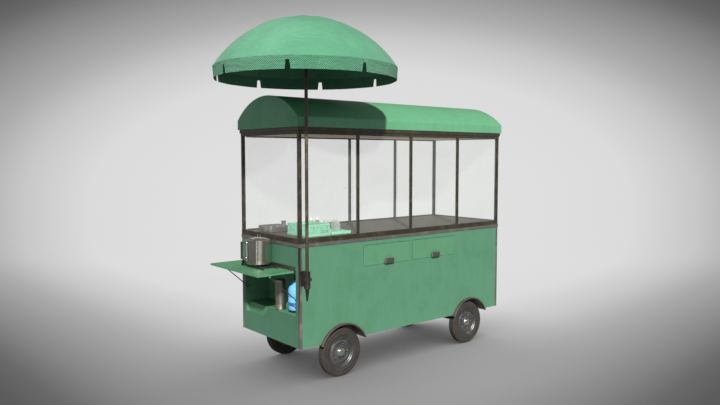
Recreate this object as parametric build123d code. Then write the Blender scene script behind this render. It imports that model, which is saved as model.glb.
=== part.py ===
from build123d import *
import os
from math import asin, cos, degrees, pi, radians, sin, sqrt

# Push vending cart. All sizes are in millimetres, +Z is up.
# +X runs along the cart, from the stove shelf at the left end to the plain right end.
# -Y is the customers' long side with the drawers and the parasol, +Y the vendor's side.

# ---- Cabinet ----
cabinet_length = 2020.0
cabinet_width = 744.0
cabinet_bottom = 258.0
cabinet_top = 954.0
sheet = 2.0
corner_leg = 20.0
corner_sheet = 2.0

# ---- Counter: steel band, board and bronze sill ----
band_height = 22.0
band_wall = 3.0
band_ledge = 45.0
counter_thickness = 30.0
sill_height = 35.0
sill_wall = 6.0
sill_flange = 30.0
sill_flange_thickness = 5.0
sill_groove = 3.0

# ---- Glass case ----
case_height = 682.0
post_side = 22.0
mullion_side = 18.0
mullion_spacing = 511.0
post_wall = 2.0
glass_thickness = 4.0
header_lower = 22.0
header_upper = 26.0
header_step = 6.0
header_flange = 30.0
header_flange_thickness = 4.0
ceiling_thickness = 5.0
door_edge_gap = 2.0
door_overlap = 10.0
door_travel = 455.0
door_setback = 16.0
track_lip = 8.0
track_wall = 2.0
door_play = 0.3
door_strip_width = 14.0
door_strip_thickness = 3.0
door_pull_inset = 60.0
door_pull_height = 280.0
door_pull_radius = 11.0
door_pull_length = 10.0

# ---- Roof ----
roof_overhang = 10.0
roof_side_overhang = 7.0
fascia_height = 65.0
roof_rise = 158.0
roof_crease_radius = 16.0
roof_sheet = 2.5
roof_return = 28.0

# ---- Running gear ----
wheel_radius = 170.0
wheel_base = 1307.0
tyre_width = 60.0
tyre_depth = 68.0
tyre_round = 26.0
wheel_inset = 35.0
axle_radius = 12.5
hub_radius = 32.0
hub_inner_length = 32.0
hub_cap_length = 16.0
rim_wall = 7.0
rim_web = 6.0
lug_circle = 56.0
lug_radius = 6.0
lug_count = 5
running_fit = 0.05
seat_gap = 0.3
fender_radius = 206.0
fender_sheet = 3.0
fender_reach = 28.0
fender_lip = 5.0
fender_drop = 8.0
well_depth = 86.0
rail_width = 26.0
rail_height = 40.0
rail_wall = 2.5
rail_spacing = 520.0
cross_spacing = 350.0
bracket_length = 90.0
bracket_plate = 8.0
floor_sheet = 2.0

# ---- Drawers ----
drawer_front_width = 445.0
drawer_front_height = 146.0
drawer_top_drop = 57.0
drawer_between = 36.0
drawer_gap = 2.0
drawer_box_inset = 12.0
drawer_box_height = 112.0
drawer_depth = 320.0
drawer_wall = 2.0
drawer_front_thickness = 4.0
drawer_travel = 270.0
runner_clearance = 2.0
runner_ledge = 12.0
pull_width = 88.0
pull_height = 36.0
pull_depth = 20.0
pull_wall = 2.0
pull_drop = 3.0

# ---- Left end: locker and stove shelf ----
locker_half_width = 326.0
locker_top = 779.0
locker_bottom = 470.0
locker_notch_drop = 74.0
locker_notch_start = 18.0
locker_notch_end = 96.0
locker_depth = 195.0
locker_floor_drop = 10.0
riser_setback = 25.0
riser_height = 76.0
shelf_depth = 276.0
shelf_gap = 4.0
shelf_thickness = 12.0
shelf_sheet = 2.0
shelf_top = 775.0
hinge_radius = 4.0
hinge_wall = 2.0
hinge_standoff = 6.0
stay_radius = 3.5
stay_reach = 190.0
stay_height = 192.0
stay_eye_radius = 5.0
stay_eye_length = 8.0
stay_tuck = 8.0
catch_half = 6.0
lug_half = 6.0
catch_thickness = 4.0

# ---- Stove and pot ----
stove_out = 92.0
stove_along = -28.0
stove_frame_length = 270.0
stove_frame_width = 106.0
stove_bar = 9.0
stove_height = 22.0
foot_radius = 8.0
burner_radius = 52.0
stove_pipe_radius = 6.0
stove_pipe_end = 205.0
stove_knob_radius = 12.0
stove_knob_length = 18.0
pot_radius = 84.5
pot_height = 166.0
pot_wall = 2.0
handle_turn = 150.0
handle_bar = 7.0
handle_reach = 40.0
handle_low = 43.0
handle_high = 147.0
lid_rise = 16.0
lid_rim = 4.0
lid_knob_height = 34.0
lid_knob_width = 34.0
lid_knob_bar = 3.0

# ---- Goods ----
gas_bottle_radius = 62.0
gas_bottle_height = 220.0
gas_valve_radius = 15.0
gas_valve_height = 34.0
can_radius = 37.0
can_height = 212.0
gas_wall = 2.5
can_wall = 0.8
crate_size = (195.0, 240.0, 82.0)
crate_wall = 4.0
tray_size = (175.0, 170.0, 46.0)
tray_wall = 2.0
board_size = (170.0, 180.0, 20.0)
glass_radius = 27.0
glass_height = 70.0
sauce_radius = 19.0
sauce_height = 105.0
jar_radius = 17.0
jar_height = 78.0

# ---- Parasol ----
mast_radius = 11.0
mast_from_left = 19.0
mast_from_front = 59.0
socket_radius = 21.5
socket_bottom = 672.0
socket_height = 111.0
socket_floor = 6.0
socket_tip_length = 82.0
socket_tip_radius = 5.0
screw_radius = 4.0
screw_head_radius = 12.0
screw_head_length = 10.0
canopy_radius = 583.0
canopy_apex = 2405.0
canopy_rise = 320.0
canopy_cloth = 2.0
valance_height = 75.0
valance_taper = 5.0
notch_width = 34.0
notch_height = 52.0
rib_count = 8
rib_radius = 3.0
rib_clearance = 0.5
rib_root = 31.0
rib_tip_inset = 13.0
stretcher_radius = 2.5
stretcher_eye_radius = 2.6
stretcher_eye_length = 7.0
stretcher_angle = 25.0
stretcher_drop = 5.7
crown_radius = 26.0
crown_height = 10.0
runner_radius = 28.0
runner_height = 34.0
runner_bore_play = 0.1
cap_radius = 24.0
cap_height = 12.0
mast_lift = 350.0
rib_fold = 60.0

# ---- Places worked out from the sizes above ----
half_length = cabinet_length / 2
half_width = cabinet_width / 2
band_bottom = cabinet_top + band_wall - band_height
counter_bottom = cabinet_top + band_wall
counter_top_z = counter_bottom + counter_thickness
band_out = corner_sheet + band_wall
sill_out = corner_sheet + 1.0
sill_top = counter_bottom + sill_height
case_top = sill_top + case_height
header_top = case_top + header_lower + header_upper
roof_half_length = half_length + sill_out + header_step + roof_overhang
roof_half_width = half_width + sill_out + header_step + roof_side_overhang
mast_x = -half_length + mast_from_left
mast_y = -half_width - mast_from_front
wheel_y = half_width - wheel_inset
hinge_x = -half_length - hinge_standoff
hinge_z = shelf_top - shelf_thickness / 2

# The origin is below the middle of the whole cart, parasol included, on the ground.
left_end = mast_x - canopy_radius
front_end = mast_y - canopy_radius
back_end = half_width + fender_reach
origin_x = (left_end + roof_half_length) / 2
origin_y = (front_end + back_end) / 2


def block(x, y, z):
    """A box between two corners, each axis given as (low, high)."""
    size = [high - low for low, high in (x, y, z)]
    return Pos(x[0], y[0], z[0]) * Box(*size, align=(Align.MIN, Align.MIN, Align.MIN))


def frame_ring(out, wall, z):
    """A flat rectangular ring around the cabinet, out beyond its faces and wall wide."""
    x = half_length + out
    y = half_width + out
    ring = block((-x, x), (-y, y), z)
    return ring - block((wall - x, x - wall), (wall - y, y - wall), z)


def rod(start, end, radius):
    """A round bar from one point to another."""
    along = Vector(*end) - Vector(*start)
    plane = Plane(origin=start, z_dir=along)
    return extrude(plane * Circle(radius), along.length)


def turned(points, axis=Axis.Z):
    """A solid of revolution about Z from an outline of (radius, height) points."""
    return revolve(Plane.XZ * make_face(Polyline(*points, close=True)), axis)


def solids_of(shapes):
    return [solid for shape in shapes for solid in shape.solids()]


def save(name, *shapes):
    """Write one node, in the cart's own frame."""
    moved = [Pos(-origin_x, -origin_y, 0) * solid for solid in solids_of(shapes)]
    whole = moved[0] if len(moved) == 1 else Compound(children=moved)
    export_step(whole, f"parts/{name}.step")


# ---------------------------------------------------------------- chassis

def chassis_frame():
    """Two long rails and five cross tubes, with the four axle plates under the rails."""
    top = cabinet_bottom + sheet * 2 + rail_height
    bottom = top - rail_height
    inner_x = half_length - sheet
    inner_y = half_width - sheet
    spans = [(-inner_x, -inner_x + rail_width), (inner_x - rail_width, inner_x)]
    for x in (-cross_spacing, 0, cross_spacing):
        spans.append((x - rail_width / 2, x + rail_width / 2))
    outer = []
    hollow = []
    w = rail_wall
    for side in (-1, 1):
        y = side * rail_spacing / 2
        across = (y - rail_width / 2, y + rail_width / 2)
        outer.append(block((-inner_x, inner_x), across, (bottom, top)))
        hollow.append(block((-inner_x, inner_x), (across[0] + w, across[1] - w), (bottom + w, top - w)))
    for low, high in spans:
        outer.append(block((low, high), (-inner_y, inner_y), (bottom, top)))
        hollow.append(block((low + w, high - w), (-inner_y, inner_y), (bottom + w, top - w)))
    frame = outer[0]
    for piece in outer[1:]:
        frame += piece
    for piece in hollow:
        frame -= piece
    for x in (-wheel_base / 2, wheel_base / 2):
        for side in (-1, 1):
            y = side * rail_spacing / 2
            plate = block(
                (x - bracket_length / 2, x + bracket_length / 2),
                (y - bracket_plate / 2, y + bracket_plate / 2),
                (wheel_radius - 2 * axle_radius, bottom),
            )
            bore = rod((x, y - bracket_plate, wheel_radius), (x, y + bracket_plate, wheel_radius),
                       axle_radius + running_fit)
            frame += plate - bore
    return frame


def hub_inner_face():
    """How far from the middle plane the inner end of a wheel's hub stands."""
    return wheel_y - hub_inner_length


def axles():
    """Two fixed cross shafts, each with a collar inside each wheel."""
    shafts = []
    for x in (-wheel_base / 2, wheel_base / 2):
        end = wheel_y + rim_web / 2
        shaft = rod((x, -end, wheel_radius), (x, end, wheel_radius), axle_radius)
        collar_out = hub_inner_face() - seat_gap
        for side in (-1, 1):
            shaft += rod((x, side * (collar_out - rim_web), wheel_radius),
                         (x, side * collar_out, wheel_radius), axle_radius * 1.7)
        shafts.append(shaft)
    return shafts


def wheel(x, side):
    """Rubber tyre on a pressed steel rim with a hub, a domed cap and wheel nuts."""
    half = tyre_width / 2
    inner = wheel_radius - tyre_depth
    section = Plane.XZ * Pos((inner + wheel_radius) / 2, 0) * RectangleRounded(
        tyre_depth, tyre_width, tyre_round)
    tyre = revolve(section, Axis.Z)
    seat = rod((0, 0, -half), (0, 0, half), inner)
    tyre -= seat
    lip = half - 6
    rim = turned([(inner, -lip), (inner, lip), (inner - rim_wall, lip), (inner - rim_wall, -lip)])
    outer_face = lip - 12
    rim += turned([
        (axle_radius + running_fit, outer_face - rim_web), (inner - rim_wall / 2, outer_face - rim_web),
        (inner - rim_wall / 2, outer_face), (axle_radius + running_fit, outer_face),
    ])
    hub = turned([
        (axle_radius + running_fit, -hub_inner_length), (hub_radius, -hub_inner_length),
        (hub_radius, outer_face + hub_cap_length * 0.6), (hub_radius * 0.75, outer_face + hub_cap_length),
        (0, outer_face + hub_cap_length), (0, outer_face), (axle_radius + running_fit, outer_face),
    ])
    rim += hub
    for i in range(lug_count):
        turn = 2 * pi * i / lug_count
        nut = extrude(Pos(lug_circle * cos(turn), lug_circle * sin(turn), outer_face)
                      * RegularPolygon(lug_radius, 6), 9)
        rim += nut
    facing = Rot(90, 0, 0) if side < 0 else Rot(-90, 0, 0)
    place = Pos(x, side * wheel_y, wheel_radius) * facing
    return place * tyre, place * rim


def fenders():
    """Four wheel housings: an arch through the side panel, rolled outside, closed inside."""
    arches = []
    floor = cabinet_bottom - fender_drop
    for x in (-wheel_base / 2, wheel_base / 2):
        for side in (-1, 1):
            outer = half_width + fender_reach
            inner = half_width - well_depth

            def drum(radius, low, high):
                return rod((x, side * low, wheel_radius), (x, side * high, wheel_radius), radius)

            arch = drum(fender_radius, inner, outer)
            arch -= drum(fender_radius - fender_sheet, inner + fender_sheet, outer)
            arch += drum(fender_radius + fender_lip, outer - fender_lip, outer)
            arch -= drum(fender_radius - fender_lip, outer - fender_lip, outer)
            keep = block((x - 300, x + 300), sorted((side * (inner - 10), side * (outer + 10))),
                         (floor, floor + 400))
            arches.append(arch & keep)
    return arches


def wheel_well_cut(low, high, z):
    """The boxes that the four wheel housings take out of a flat floor."""
    reach = fender_radius + shelf_gap
    cuts = []
    for x in (-wheel_base / 2, wheel_base / 2):
        for side in (-1, 1):
            cuts.append(block((x - reach, x + reach), sorted((side * low, side * high)), z))
    return cuts


def floor_panel():
    top = cabinet_bottom + sheet * 2 + rail_height + floor_sheet
    z = (top - floor_sheet, top)
    panel = block((sheet - half_length, half_length - sheet), (sheet - half_width, half_width - sheet), z)
    for cut in wheel_well_cut(half_width - well_depth - shelf_gap, half_width, z):
        panel -= cut
    return panel


# ---------------------------------------------------------------- cabinet panels

drawer_top = cabinet_top + band_wall - drawer_top_drop
drawer_bottom = drawer_top - drawer_front_height
drawer_centre = drawer_between / 2 + drawer_front_width / 2


def drawer_span(side):
    centre = side * drawer_centre
    return centre - drawer_front_width / 2, centre + drawer_front_width / 2


def long_panel(side):
    y = sorted((side * half_width, side * (half_width - sheet)))
    panel = block((-half_length, half_length), y, (cabinet_bottom, cabinet_top))
    for x in (-wheel_base / 2, wheel_base / 2):
        panel -= rod((x, side * (half_width + 10), wheel_radius), (x, side * (half_width - 10), wheel_radius),
                     fender_radius)
    if side < 0:
        for end in (-1, 1):
            low, high = drawer_span(end)
            panel -= block((low - drawer_gap, high + drawer_gap), (y[0] - 1, y[1] + 1),
                           (drawer_bottom - drawer_gap, drawer_top + drawer_gap))
    return panel


def end_panel(side):
    x = sorted((side * half_length, side * (half_length - sheet)))
    y = half_width - sheet
    return block(x, (-y, y), (cabinet_bottom, cabinet_top))


def left_end_panel():
    """The end sheet with the locker's mouth, whose lower edge steps down at the back."""
    low = locker_bottom - locker_notch_drop
    w = locker_half_width
    mouth = Polyline(
        (-w, locker_top), (-w, locker_bottom), (locker_notch_start, locker_bottom),
        (locker_notch_end, low), (w, low), (w, locker_top), close=True,
    )
    cut = extrude(Plane.YZ.offset(-half_length - 5) * make_face(mouth), 10)
    return end_panel(-1) - cut


def locker_liner():
    """Folded lining of the locker: two sides, a back, a floor and the riser in front of it."""
    inner_face = sheet - half_length
    back = inner_face + locker_depth
    floor = locker_bottom - locker_floor_drop
    bottom = floor - riser_height
    side_out = locker_half_width + sheet * 2
    side_in = side_out - sheet
    top = cabinet_top
    liner = block((back, back + sheet), (-side_out, side_out), (bottom, top))
    for side in (-1, 1):
        liner += block((inner_face, back), sorted((side * side_in, side * side_out)), (bottom, top))
    riser = inner_face + riser_setback
    liner += block((riser, back), (-side_in, side_in), (floor - sheet, floor))
    liner += block((riser, riser + sheet), (-side_in, side_in), (bottom, floor))
    return liner


def steel_trims():
    """Four corner angles and the band around the counter's edge."""
    pieces = []
    out = corner_sheet
    for sx in (-1, 1):
        for sy in (-1, 1):
            x = sx * (half_length + out)
            y = sy * (half_width + out)
            z = (cabinet_bottom, cabinet_top)
            leg = corner_leg
            angle = block(sorted((x, x - sx * leg)), sorted((y, y - sy * leg)), z)
            inside_x = sorted((x - sx * out, x - sx * 2 * leg))
            inside_y = sorted((y - sy * out, y - sy * 2 * leg))
            angle -= block(inside_x, inside_y, z)
            pieces.append(angle)
    band = frame_ring(band_out, band_wall, (band_bottom, counter_bottom))
    band += frame_ring(band_out, band_ledge, (cabinet_top, counter_bottom))
    pieces.append(band)
    return pieces


def counter_top():
    x = half_length + sill_out - sill_wall
    y = half_width + sill_out - sill_wall
    return block((-x, x), (-y, y), (counter_bottom, counter_top_z))


# ---------------------------------------------------------------- glass case

door_y = half_width + sill_out - sill_flange - door_setback + mullion_side / 2


def track(z_base, z_lip):
    """A U channel for the sliding doors, with its base at one height and lips to the other."""
    x = half_length + sill_out - header_flange
    half = glass_thickness / 2 + runner_clearance / 2
    y = (door_y - half - track_wall, door_y + half + track_wall)
    channel = block((-x, x), y, sorted((z_base, z_lip)))
    inside = z_base + track_wall if z_lip > z_base else z_base - track_wall
    return channel - block((-x, x), (door_y - half, door_y + half), sorted((inside, z_lip)))


def case_sill():
    """Bronze angle along the counter's edge with a shadow groove, and the doors' lower track."""
    sill = frame_ring(sill_out, sill_wall, (counter_bottom, sill_top))
    sill += frame_ring(sill_out, sill_flange, (counter_top_z, sill_top))
    middle = counter_bottom + sill_height / 2
    groove = (middle - sill_groove / 2, middle + sill_groove / 2)
    sill -= frame_ring(sill_out, sill_groove / 2, groove)
    return sill, track(counter_top_z, counter_top_z + track_lip + track_wall)


def square_tube(x, y, side, z):
    tube = block((x - side / 2, x + side / 2), (y - side / 2, y + side / 2), z)
    inner = side / 2 - post_wall
    return tube - block((x - inner, x + inner), (y - inner, y + inner), z)


def case_posts():
    """Four corner posts and three mullions on each long side."""
    z = (sill_top, case_top)
    tubes = []
    for sy in (-1, 1):
        for sx in (-1, 1):
            tubes.append(square_tube(sx * (half_length + sill_out - 1 - post_side / 2),
                                     sy * (half_width + sill_out - 1 - post_side / 2), post_side, z))
        for x in (-mullion_spacing, 0, mullion_spacing):
            tubes.append(square_tube(x, sy * (half_width + sill_out - 1 - mullion_side / 2), mullion_side, z))
    return tubes


def case_header():
    """Two-step bronze rail that carries the roof, and the doors' upper track."""
    lower = (case_top, case_top + header_lower)
    upper = (lower[1], header_top)
    header = frame_ring(sill_out, sill_wall, lower)
    header += frame_ring(sill_out, header_flange, (case_top, case_top + header_flange_thickness))
    header += frame_ring(sill_out + header_step, sill_wall + header_step, upper)
    ceiling_bottom = case_top + header_flange_thickness
    return header, track(ceiling_bottom, ceiling_bottom - track_lip - track_wall)


def ceiling_panel():
    x = half_length + sill_out - sill_wall
    y = half_width + sill_out - sill_wall
    z = case_top + header_flange_thickness
    return block((-x, x), (-y, y), (z, z + ceiling_thickness))


def fixed_glass():
    """Four front panes, one at each end and the two outer panes on the vendor's side."""
    z = (sill_top, case_top)
    out_y = half_width + sill_out - 1 - post_side / 2
    end = half_length + sill_out - 1 - post_side
    half_glass = glass_thickness / 2
    half_mullion = mullion_side / 2
    spans = [
        (-end, -mullion_spacing - half_mullion), (half_mullion - mullion_spacing, -half_mullion),
        (half_mullion, mullion_spacing - half_mullion), (mullion_spacing + half_mullion, end),
    ]
    panes = [block(span, (-out_y - half_glass, half_glass - out_y), z) for span in spans]
    for span in (spans[0], spans[3]):
        panes.append(block(span, (out_y - half_glass, out_y + half_glass), z))
    out_x = half_length + sill_out - 1 - post_side / 2
    across = half_width + sill_out - 1 - post_side
    for side in (-1, 1):
        panes.append(block(sorted((side * (out_x - half_glass), side * (out_x + half_glass))),
                           (-across, across), z))
    return panes


def rear_door(side):
    """A sliding pane with a metal edge strip and a round pull on the vendor's side."""
    near = door_edge_gap
    far = mullion_spacing + door_overlap
    z = (counter_top_z + track_wall + door_play, case_top + header_flange_thickness - track_wall - door_play)
    half = glass_thickness / 2
    pane = block(sorted((side * near, side * far)), (door_y - half, door_y + half), z)
    clear = track_lip + track_wall
    strip_z = (z[0] + clear, z[1] - clear)
    strip = block(sorted((side * near, side * (near + door_strip_width))),
                  (door_y + half, door_y + half + door_strip_thickness), strip_z)
    middle = z[0] + door_pull_height
    pull_at = side * door_pull_inset
    pull = rod((pull_at, door_y + half, middle), (pull_at, door_y + half + door_pull_length, middle),
               door_pull_radius)
    return pane, strip, pull


# ---------------------------------------------------------------- roof

def roof_outline(inset):
    """The roof's end profile, drawn in by a wall thickness: fascias and a barrel arc."""
    half = roof_half_width - inset
    eave = header_top + fascia_height
    radius = (roof_half_width ** 2 + roof_rise ** 2) / (2 * roof_rise)
    centre = eave + roof_rise - radius
    inner_radius = radius - inset
    corner = centre + sqrt(inner_radius ** 2 - half ** 2)
    crown = centre + inner_radius
    foot = header_top + inset
    edges = [
        Line((-half, foot), (half, foot)), Line((half, foot), (half, corner)),
        ThreePointArc((half, corner), (0, crown), (-half, corner)), Line((-half, corner), (-half, foot)),
    ]
    face = make_face(edges)
    creases = face.vertices().filter_by_position(Axis.Y, corner - 0.1, corner + 0.1)
    return fillet(creases, roof_crease_radius - inset)


def roof_shell():
    """Painted sheet roof: barrel top, upright fascias, flat ends and a return along the foot."""
    outer = extrude(Plane.YZ.offset(-roof_half_length) * roof_outline(0), 2 * roof_half_length)
    long = roof_half_length - roof_sheet
    inner = extrude(Plane.YZ.offset(-long) * roof_outline(roof_sheet), 2 * long)
    x = roof_half_length - roof_return
    y = roof_half_width - roof_return
    mouth = block((-x, x), (-y, y), (header_top - 1, header_top + roof_sheet + 1))
    return outer - inner - mouth


# ---------------------------------------------------------------- drawers

drawer_box_bottom = drawer_bottom + drawer_box_inset
drawer_front_y = -half_width - drawer_front_thickness / 2


def drawer(side):
    """An open steel box behind an inset front."""
    low, high = drawer_span(side)
    front = block((low, high), (drawer_front_y, drawer_front_y + drawer_front_thickness),
                  (drawer_bottom, drawer_top))
    x = (low + drawer_box_inset, high - drawer_box_inset)
    y = (drawer_front_y + drawer_front_thickness, drawer_front_y + drawer_front_thickness + drawer_depth)
    z = (drawer_box_bottom, drawer_box_bottom + drawer_box_height)
    w = drawer_wall
    box = block(x, y, z) - block((x[0] + w, x[1] - w), (y[0] + w, y[1] - w), (z[0] + w, z[1]))
    return front + box


def pull_x(side):
    low, high = drawer_span(side)
    return (low + high) / 2 + drawer_box_inset


def drawer_pull(side):
    """A pressed cup pull, open below."""
    x = pull_x(side)
    z = (drawer_bottom + pull_drop, drawer_bottom + pull_drop + pull_height)
    cup = block((x - pull_width / 2, x + pull_width / 2), (drawer_front_y - pull_depth, drawer_front_y), z)
    edges = cup.edges().filter_by(Axis.Z).group_by(Axis.Y)[0]
    cup = fillet(edges, pull_depth / 2)
    cup = chamfer(cup.faces().sort_by(Axis.Z)[-1].edges().sort_by(Axis.Y)[0], pull_depth / 3)
    w = pull_wall
    hollow = block((x - pull_width / 2 + w * 2, x + pull_width / 2 - w * 2),
                   (drawer_front_y - pull_depth + w * 2, drawer_front_y - w), (z[0], z[1] - w * 4))
    return cup - hollow


def drawer_runners():
    """An angle each side of each drawer, hung from the counter board."""
    rails = []
    for side in (-1, 1):
        low, high = drawer_span(side)
        y = (sheet - half_width, drawer_front_y + drawer_front_thickness + drawer_depth)
        for end, x in ((-1, low + drawer_box_inset), (1, high - drawer_box_inset)):
            web_x = x + end * runner_clearance
            ledge = drawer_box_bottom - seat_gap
            web = block(sorted((web_x, web_x + end * drawer_wall)), y, (ledge - drawer_wall, cabinet_top))
            tail = (y[0] + band_ledge, y[1])
            web += block(sorted((web_x, web_x + end * drawer_wall)), tail, (cabinet_top, counter_bottom))
            web += block(sorted((web_x + end * drawer_wall, web_x - end * runner_ledge)), y,
                         (ledge - drawer_wall, ledge))
            rails.append(web)
    return rails


# ---------------------------------------------------------------- stove shelf

stay_y = locker_half_width - shelf_gap - shelf_sheet - stay_eye_length / 2
stay_top = (hinge_x - stay_reach, hinge_z - shelf_thickness / 2 - stay_eye_radius - 2)
stay_foot = (hinge_x + hinge_standoff + stay_tuck, hinge_z - stay_height)


def shelf_board():
    """A folded steel flap with turned-down edges, its hinge leaf and the lugs for the stays."""
    half = locker_half_width - shelf_gap
    x = (hinge_x - hinge_radius - 1 - shelf_depth, hinge_x - hinge_radius - 1)
    z = (shelf_top - shelf_thickness, shelf_top)
    w = shelf_sheet
    pan = block(x, (-half, half), z)
    pan -= block((x[0] + w, x[1] - w), (w - half, half - w), (z[0], z[1] - w))
    for k in range(-2, 3):
        y = k * half / 3
        knuckle = rod((hinge_x, y - half / 12, hinge_z), (hinge_x, y + half / 12, hinge_z), hinge_radius)
        leaf = block((x[1] - w / 2, hinge_x), (y - half / 12, y + half / 12), (hinge_z - 1, hinge_z + 1))
        bore = rod((hinge_x, y - half / 6, hinge_z), (hinge_x, y + half / 6, hinge_z),
                   hinge_radius - hinge_wall + running_fit)
        pan += knuckle + leaf - bore
    for side in (-1, 1):
        pan += block((stay_top[0] - lug_half, stay_top[0] + lug_half),
                     sorted((side * (half - w), side * half)),
                     (stay_top[1] - stay_eye_radius - 1, z[1] - w))
    return pan


def shelf_hinge():
    """The fixed half of the hinge with its pin, and the two catches inside the locker's jambs."""
    half = locker_half_width - shelf_gap
    pin = rod((hinge_x, -half, hinge_z), (hinge_x, half, hinge_z), hinge_radius - hinge_wall)
    fixed = pin
    for k in (-2.5, -1.5, -0.5, 0.5, 1.5, 2.5):
        y = k * half / 3
        knuckle = rod((hinge_x, y - half / 13, hinge_z), (hinge_x, y + half / 13, hinge_z), hinge_radius)
        across = (y - half / 13, y + half / 13)
        arm = block((hinge_x, -half_length), across, (hinge_z, hinge_z + hinge_radius))
        fixed += knuckle + arm
    strip = block((-half_length - 2, -half_length), (-half, half), (hinge_z, locker_top + 22))
    fixed += strip
    catches = []
    wall_y = locker_half_width + sheet
    for side in (-1, 1):
        x, z = stay_foot
        under = z - stay_eye_radius - seat_gap
        inner_y = stay_y - stay_eye_length / 2
        catches.append(block((x - catch_half, x + catch_half), sorted((side * inner_y, side * wall_y)),
                             (under - catch_thickness, under)))
    return [fixed] + catches


def shelf_stays():
    """Two round struts with an eye at each end, from the shelf's lugs to the catches in the jambs."""
    struts = []
    half_eye = stay_eye_length / 2
    for side in (-1, 1):
        y = side * stay_y
        strut = rod((stay_top[0], y, stay_top[1]), (stay_foot[0], y, stay_foot[1]), stay_radius)
        for x, z in (stay_top, stay_foot):
            strut += rod((x, y - half_eye, z), (x, y + half_eye, z), stay_eye_radius)
        struts.append(strut)
    return struts


stove_x = hinge_x - stove_out
stove_top = shelf_top + stove_height


def gas_burner():
    """A cast stand with four feet, a burner ring, pan supports and the gas pipe."""
    stand_z = (shelf_top + 6, shelf_top + 6 + stove_bar)
    stand = None
    for sx in (-1, 1):
        x = stove_x + sx * stove_frame_width / 2
        bar = block((x - stove_bar / 2, x + stove_bar / 2),
                    (stove_along - stove_frame_length / 2, stove_along + stove_frame_length / 2), stand_z)
        stand = bar if stand is None else stand + bar
        for sy in (-1, 1):
            y = stove_along + sy * stove_frame_length / 2
            stand += rod((x, y, shelf_top), (x, y, stand_z[1]), foot_radius)
    for sy in (-1, 0, 1):
        y = stove_along + sy * (stove_frame_length / 2 - 40)
        stand += block((stove_x - stove_frame_width / 2, stove_x + stove_frame_width / 2),
                       (y - stove_bar / 2, y + stove_bar / 2), stand_z)
    stand += rod((stove_x, stove_along, stand_z[0]), (stove_x, stove_along, stand_z[1] + 3), burner_radius)
    stand -= rod((stove_x, stove_along, shelf_top), (stove_x, stove_along, stove_top), burner_radius * 0.35)
    for i in range(4):
        turn = pi / 4 + i * pi / 2
        arm_from = burner_radius * 0.6
        arm_to = burner_radius + 14
        arm = rod((stove_x + arm_from * cos(turn), stove_along + arm_from * sin(turn), stove_top - 4),
                  (stove_x + arm_to * cos(turn), stove_along + arm_to * sin(turn), stove_top - 4), 4)
        stand += arm
    pipe_z = shelf_top + 6 + stove_bar / 2
    stand += rod((stove_x, stove_along + burner_radius * 0.7, pipe_z),
                 (stove_x, stove_along + stove_pipe_end, pipe_z), stove_pipe_radius)
    return stand


def burner_knob():
    """The gas tap's knob on the end of the pipe."""
    z = shelf_top + 6 + stove_bar / 2 + 1
    y = stove_along + stove_pipe_end + seat_gap
    knob = rod((stove_x, y, z), (stove_x, y + stove_knob_length, z), stove_knob_radius * 0.8)
    grip = block((stove_x - 2.5, stove_x + 2.5), (y + 4, y + stove_knob_length + 4),
                 (z - stove_knob_radius * 0.7, z + stove_knob_radius))
    return knob + grip


pot_bottom = stove_top + seat_gap
pot_top = pot_bottom + pot_height


def pot():
    """A straight-sided pot with a rolled rim and one upright handle."""
    w = pot_wall
    body = turned([
        (0, pot_bottom), (pot_radius - 6, pot_bottom), (pot_radius, pot_bottom + 6),
        (pot_radius, pot_top - 3), (pot_radius + 2, pot_top - 3), (pot_radius + 2, pot_top),
        (pot_radius - w, pot_top), (pot_radius - w, pot_bottom + 6),
        (pot_radius - 6 - w / 2, pot_bottom + w), (0, pot_bottom + w),
    ])
    grip_x = pot_radius + handle_reach - handle_bar
    low = pot_bottom + handle_low
    high = pot_bottom + handle_high
    handle = rod((grip_x, 0, low - handle_bar), (grip_x, 0, high + handle_bar), handle_bar)
    for z in (low, high):
        handle += rod((pot_radius - w / 2, 0, z), (grip_x, 0, z), handle_bar * 0.6)
    return Pos(stove_x, stove_along, 0) * (body + Rot(0, 0, handle_turn) * handle)


def pot_lid():
    """A shallow domed lid with a skirt inside the pot and a loop knob."""
    w = 1.5
    rim = pot_radius - pot_wall - 0.6
    base = pot_top + seat_gap
    lid = turned([
        (0, base + lid_rise), (rim * 0.45, base + lid_rise * 0.82), (rim * 0.8, base + lid_rise * 0.42),
        (rim, base + w), (pot_radius + 3, base + w), (pot_radius + 3, base), (rim, base),
        (rim, base - lid_rim), (rim - w, base - lid_rim), (rim - w, base),
        (rim * 0.8, base + lid_rise * 0.42 - w), (rim * 0.45, base + lid_rise * 0.82 - w),
        (0, base + lid_rise - w),
    ])
    half = lid_knob_width / 2
    foot = base + lid_rise * 0.87
    top = base + lid_knob_height + lid_rise
    loop = rod((0, -half, foot), (0, -half, top), lid_knob_bar)
    loop += rod((0, half, foot), (0, half, top), lid_knob_bar)
    grip_end = half + lid_knob_bar * 1.7
    loop += rod((0, -grip_end, top), (0, grip_end, top), lid_knob_bar * 1.25)
    return Pos(stove_x, stove_along, 0) * (lid + loop)


# ---------------------------------------------------------------- goods

locker_floor = locker_bottom - locker_floor_drop
bottle_place = (sheet - half_length + 117, -165)
can_place = (sheet - half_length + 62, -40)


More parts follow.
